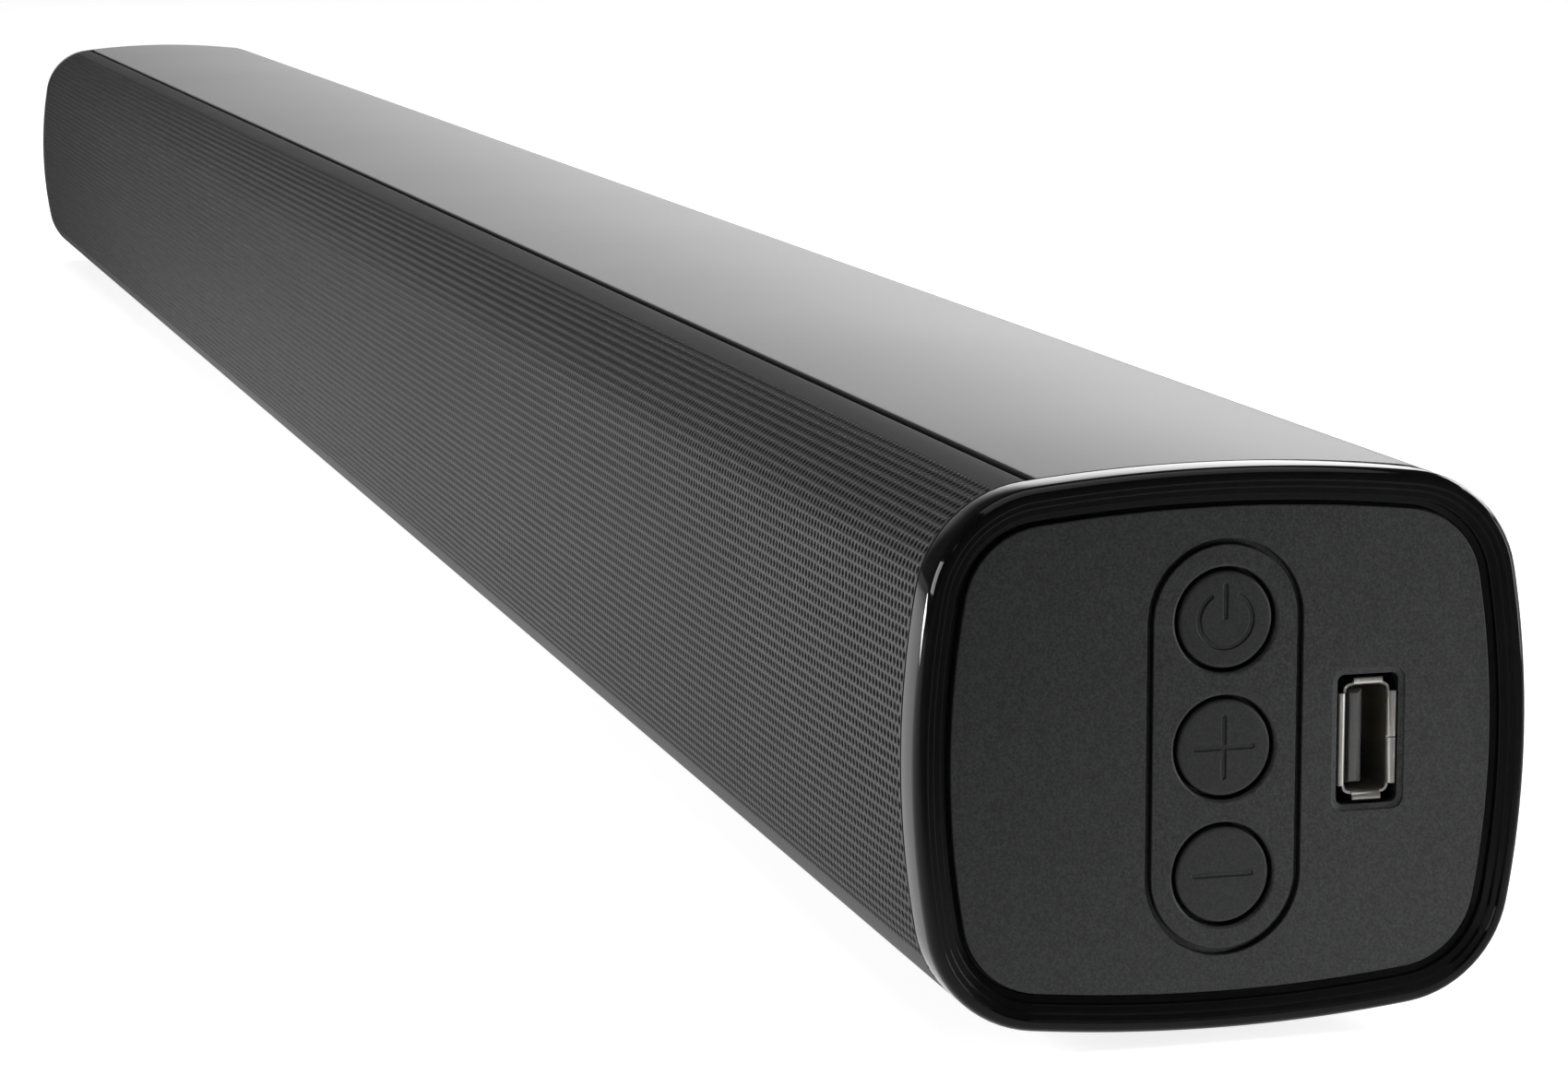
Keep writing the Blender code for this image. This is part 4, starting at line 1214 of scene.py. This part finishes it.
def make_sockets():
    """The three sockets in the bay, each with its own mouth."""
    bores = {"dc_inlet": 2.85, "aux_socket": 1.8, "optical_socket": 2.7}
    places = {name: at_back(x, BAY_Z) for name, x in SOCKET_XS.items()}
    for name, bore in bores.items():
        profile = softened_line(mm(
            (0, 13.9, 0), (5, 13.9, 0), (5, 28.5, 0.3),
            (bore, 28.5, 0.3), (bore, 20, 0), (0, 20, 0),
        ))
        body = lathe(f"{name}_body", profile, places[name], 64)
        place_piece(body, "socket", "socket_plastic", name)

    tip = [(math.cos(t), 26.4 + 0.7 * math.sin(t)) for t in np.linspace(0.3, math.pi / 2, 5)]
    pin = mm((0, 20.1), (1.0, 20.1), (1.0, 26.4), *tip)
    pin = lathe("dc_inlet_pin", pin, places["dc_inlet"], 32)
    place_piece(pin, "nickel", None)

    ring = softened(mm(
        (1.85, 27.2, 0), (3.1, 28.5, 0), (3.1, 28.8, 0.1), (1.95, 28.8, 0.15), (1.72, 27.2, 0)
    ))
    ring = lathe("aux_socket_ring", ring, places["aux_socket"], 64, closed=True)
    place_piece(ring, "nickel", None)

    x, half = SOCKET_XS["optical_socket"], 1.8 * MM
    low, high = (x - half, 25.6 * MM, BAY_Z - half), (x + half, 26.2 * MM, BAY_Z + half)
    place_piece(block("optical_socket_door", low, high, 0.2 * MM), "window", None)


# ---------------------------------------------------------------- pieces that keep their shape


def dress_node(node, finish):
    """Keeps a solid as it is and gives it a real finish."""
    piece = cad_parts[node]
    for slot in piece.material_slots:
        slot.material = FINISHES[finish]


def finish_inner_nodes():
    finishes = {
        "grille_cloth": "cloth",
        "front_baffle": "inner",
        "control_board": "board",
        "main_board": "board",
        "sensor_board": "board",
        "remote_receiver": "window",
        "control_lead": "rubber",
    }
    for number in range(1, 5):
        finishes[f"speaker_frame_{number}"] = "paint"
        finishes[f"speaker_surround_{number}"] = "rubber"
        finishes[f"speaker_cone_{number}"] = "paper"
        finishes[f"speaker_motor_{number}"] = "steel"
    for node, finish in finishes.items():
        dress_node(node, finish)


# ---------------------------------------------------------------- stage

CAMERA_PLACE = (0.93697, -0.18025, 0.14245)
CAMERA_TURN = (15.271, 9.436, -0.173)  # degrees towards the back, downwards and of roll

# Each with its place, target, size, power and whether it shows in reflections
SOFTBOXES = (
    ("Overhead", (0.0, 0.1, 2.4), (0, 0, 0), (3.0, 2.4), 22, True),
    ("Front", (0.15, -1.1, 0.35), (0.1, 0, 0.03), (0.8, 0.4), 9.0, True),
    ("Front low", (0.0, -0.42, 0.03), (0.0, 0, 0.02), (0.35, 0.04), 1.0, True),
    ("Near corner", (1.15, -0.75, 0.62), (0.47, 0, 0.04), (0.09, 0.09), 0.08, True),
    ("Right fill", (0.58, 0.30, 0.06), (0.47, 0.03, 0.03), (0.12, 0.12), 0.26, True),
    ("Right kicker", (0.54, 0.07, 0.004), (0.47, 0.02, 0.04), (0.10, 0.05), 0.16, False),
    ("Back", (-0.2, 1.5, 0.8), (0.0, 0.0, 0.04), (1.6, 0.6), 24, True),
)


def smooth_step(tree, value, low, high, falling=False):
    """0 below low, 1 above high, with a soft edge between; falling is the other way round."""
    node = add(tree, "ShaderNodeMapRange", interpolation_type="SMOOTHSTEP")
    link(tree, value, node.inputs["Value"])
    node.inputs["From Min"].default_value = low
    node.inputs["From Max"].default_value = high
    step = node.outputs["Result"]
    return math_node(tree, "SUBTRACT", 1.0, step) if falling else step


def times(tree, first, second):
    return math_node(tree, "MULTIPLY", first, second)


def plus(tree, first, second):
    return math_node(tree, "ADD", first, second)


def make_stage():
    """A pale seamless floor, overexposed as in a light tent. In reflections it is lit under the
    bar's right half, dim elsewhere, and dark beyond the right end, where a black card would lie."""
    mesh = bpy.data.meshes.new("floor")
    size = 30.0
    corners = [(-size, -size, 0), (size, -size, 0), (size, size, 0), (-size, size, 0)]
    mesh.from_pydata(corners, [], [(0, 1, 2, 3)])
    floor = bpy.data.objects.new("floor", mesh)
    bpy.context.scene.collection.objects.link(floor)
    material, tree, paper = start_finish("Seamless paper", 0.9, 0.0, 0.2)
    paper.inputs["Base Color"].default_value = (0.9, 0.9, 0.9, 1)
    path = add(tree, "ShaderNodeLightPath")
    glow = add(tree, "ShaderNodeEmission")
    link(tree, times(tree, path.outputs["Is Camera Ray"], 0.75), glow.inputs["Strength"])
    bright = add(tree, "ShaderNodeAddShader")
    link(tree, paper.outputs[0], bright.inputs[0])
    link(tree, glow.outputs[0], bright.inputs[1])

    parts = add(tree, "ShaderNodeSeparateXYZ")
    link(tree, add(tree, "ShaderNodeTexCoord").outputs["Object"], parts.inputs[0])
    x, y = parts.outputs["X"], parts.outputs["Y"]
    under_bar = times(
        tree, smooth_step(tree, x, 0.45, 0.62, falling=True), smooth_step(tree, x, -0.75, 0.05)
    )
    in_front = smooth_step(tree, y, -0.12, 0.04, falling=True)
    lit = plus(tree, times(tree, under_bar, 0.75), 0.06)
    lit = plus(tree, lit, times(tree, in_front, 0.14))
    reflected = add(tree, "ShaderNodeEmission")
    link(tree, lit, reflected.inputs["Strength"])
    mix = add(tree, "ShaderNodeMixShader")
    link(tree, path.outputs["Is Glossy Ray"], mix.inputs[0])
    link(tree, bright.outputs[0], mix.inputs[1])
    link(tree, reflected.outputs[0], mix.inputs[2])
    link(tree, mix.outputs[0], tree.nodes["Material Output"].inputs["Surface"])
    mesh.materials.append(material)


def make_world():
    """A dark studio with a low, soft wall of light beyond the left end. The camera sees it pale."""
    world = bpy.data.worlds.new("Studio")
    bpy.context.scene.world = world
    world.use_nodes = True
    tree = world.node_tree
    background = tree.nodes["Background"]
    background.inputs["Color"].default_value = (1, 1, 1, 1)
    parts = add(tree, "ShaderNodeSeparateXYZ")
    link(tree, add(tree, "ShaderNodeTexCoord").outputs["Generated"], parts.inputs[0])
    leftward = times(tree, parts.outputs["X"], -1.0)
    turn = math_node(tree, "ARCTAN2", parts.outputs["Y"], leftward)
    turn = times(tree, turn, 180 / math.pi)  # degrees from -X towards the back
    rise = times(tree, math_node(tree, "ARCSINE", parts.outputs["Z"], 0.0), 180 / math.pi)
    edge = times(tree, smooth_step(tree, turn, -14.0, -2.0), 0.55)
    wall = plus(tree, edge, times(tree, smooth_step(tree, turn, -2.0, 22.0), 1.3))
    end = smooth_step(tree, turn, 63.0, 87.0, falling=True)
    low = smooth_step(tree, rise, 9.0, 21.0, falling=True)
    wall = plus(tree, times(tree, wall, times(tree, end, low)), 0.035)
    seen = add(tree, "ShaderNodeMix")
    seen.inputs["B"].default_value = 0.85
    camera_ray = add(tree, "ShaderNodeLightPath").outputs["Is Camera Ray"]
    link(tree, camera_ray, seen.inputs["Factor"])
    link(tree, wall, seen.inputs["A"])
    link(tree, seen.outputs["Result"], background.inputs["Strength"])


def place_lamp(light, place, target, power):
    """Puts a light at a place, facing a target, out of the camera's sight."""
    light.energy = power
    lamp = bpy.data.objects.new(light.name, light)
    lamp.location = place
    lamp.rotation_euler = (Vector(target) - Vector(place)).to_track_quat("-Z", "Y").to_euler()
    lamp.visible_camera = False
    bpy.context.scene.collection.objects.link(lamp)
    return lamp


def make_lights():
    """The softboxes, and a narrow spot on the USB socket's lips."""
    for name, place, target, size, power, reflected in SOFTBOXES:
        light = bpy.data.lights.new(name, "AREA")
        light.shape = "RECTANGLE"
        light.size, light.size_y = size
        place_lamp(light, place, target, power).visible_glossy = reflected
    snoot = bpy.data.lights.new("Socket snoot", "SPOT")
    snoot.spot_size = math.radians(1.9)
    snoot.spot_blend = 0.4
    snoot.shadow_soft_size = 0.01
    place_lamp(snoot, (0.92, 0.15, 0.024), (HALF, USB_Y, CONTROL_Z), 0.34)


def make_camera():
    data = bpy.data.cameras.new("Camera")
    data.sensor_width = 36
    data.lens = 101.7
    data.clip_start, data.clip_end = 0.01, 100
    camera = bpy.data.objects.new("Camera", data)
    yaw, pitch, roll = map(math.radians, CAMERA_TURN)
    level = Vector((-math.cos(yaw), math.sin(yaw), 0))
    forward = level * math.cos(pitch) - Vector((0, 0, math.sin(pitch)))
    side = forward.cross(Vector((0, 0, 1))).normalized()
    up = side.cross(forward)
    right = side * math.cos(roll) + up * math.sin(roll)
    up = up * math.cos(roll) - side * math.sin(roll)
    turn = Matrix((right, up, -forward)).transposed().to_4x4()
    camera.matrix_world = Matrix.Translation(CAMERA_PLACE) @ turn
    bpy.context.scene.collection.objects.link(camera)
    bpy.context.scene.camera = camera
    bpy.context.scene.view_settings.view_transform = "Standard"


make_camera()
make_housing()
make_grille()
for hand, side in HANDS.items():
    make_rim(hand, side)
make_plain_panel()
make_control_panel()
make_buttons()
make_usb_socket()
make_ports()
make_keyhole_plates()
make_feet()
make_screws()
make_sockets()
finish_inner_nodes()
make_stage()
make_world()
make_lights()
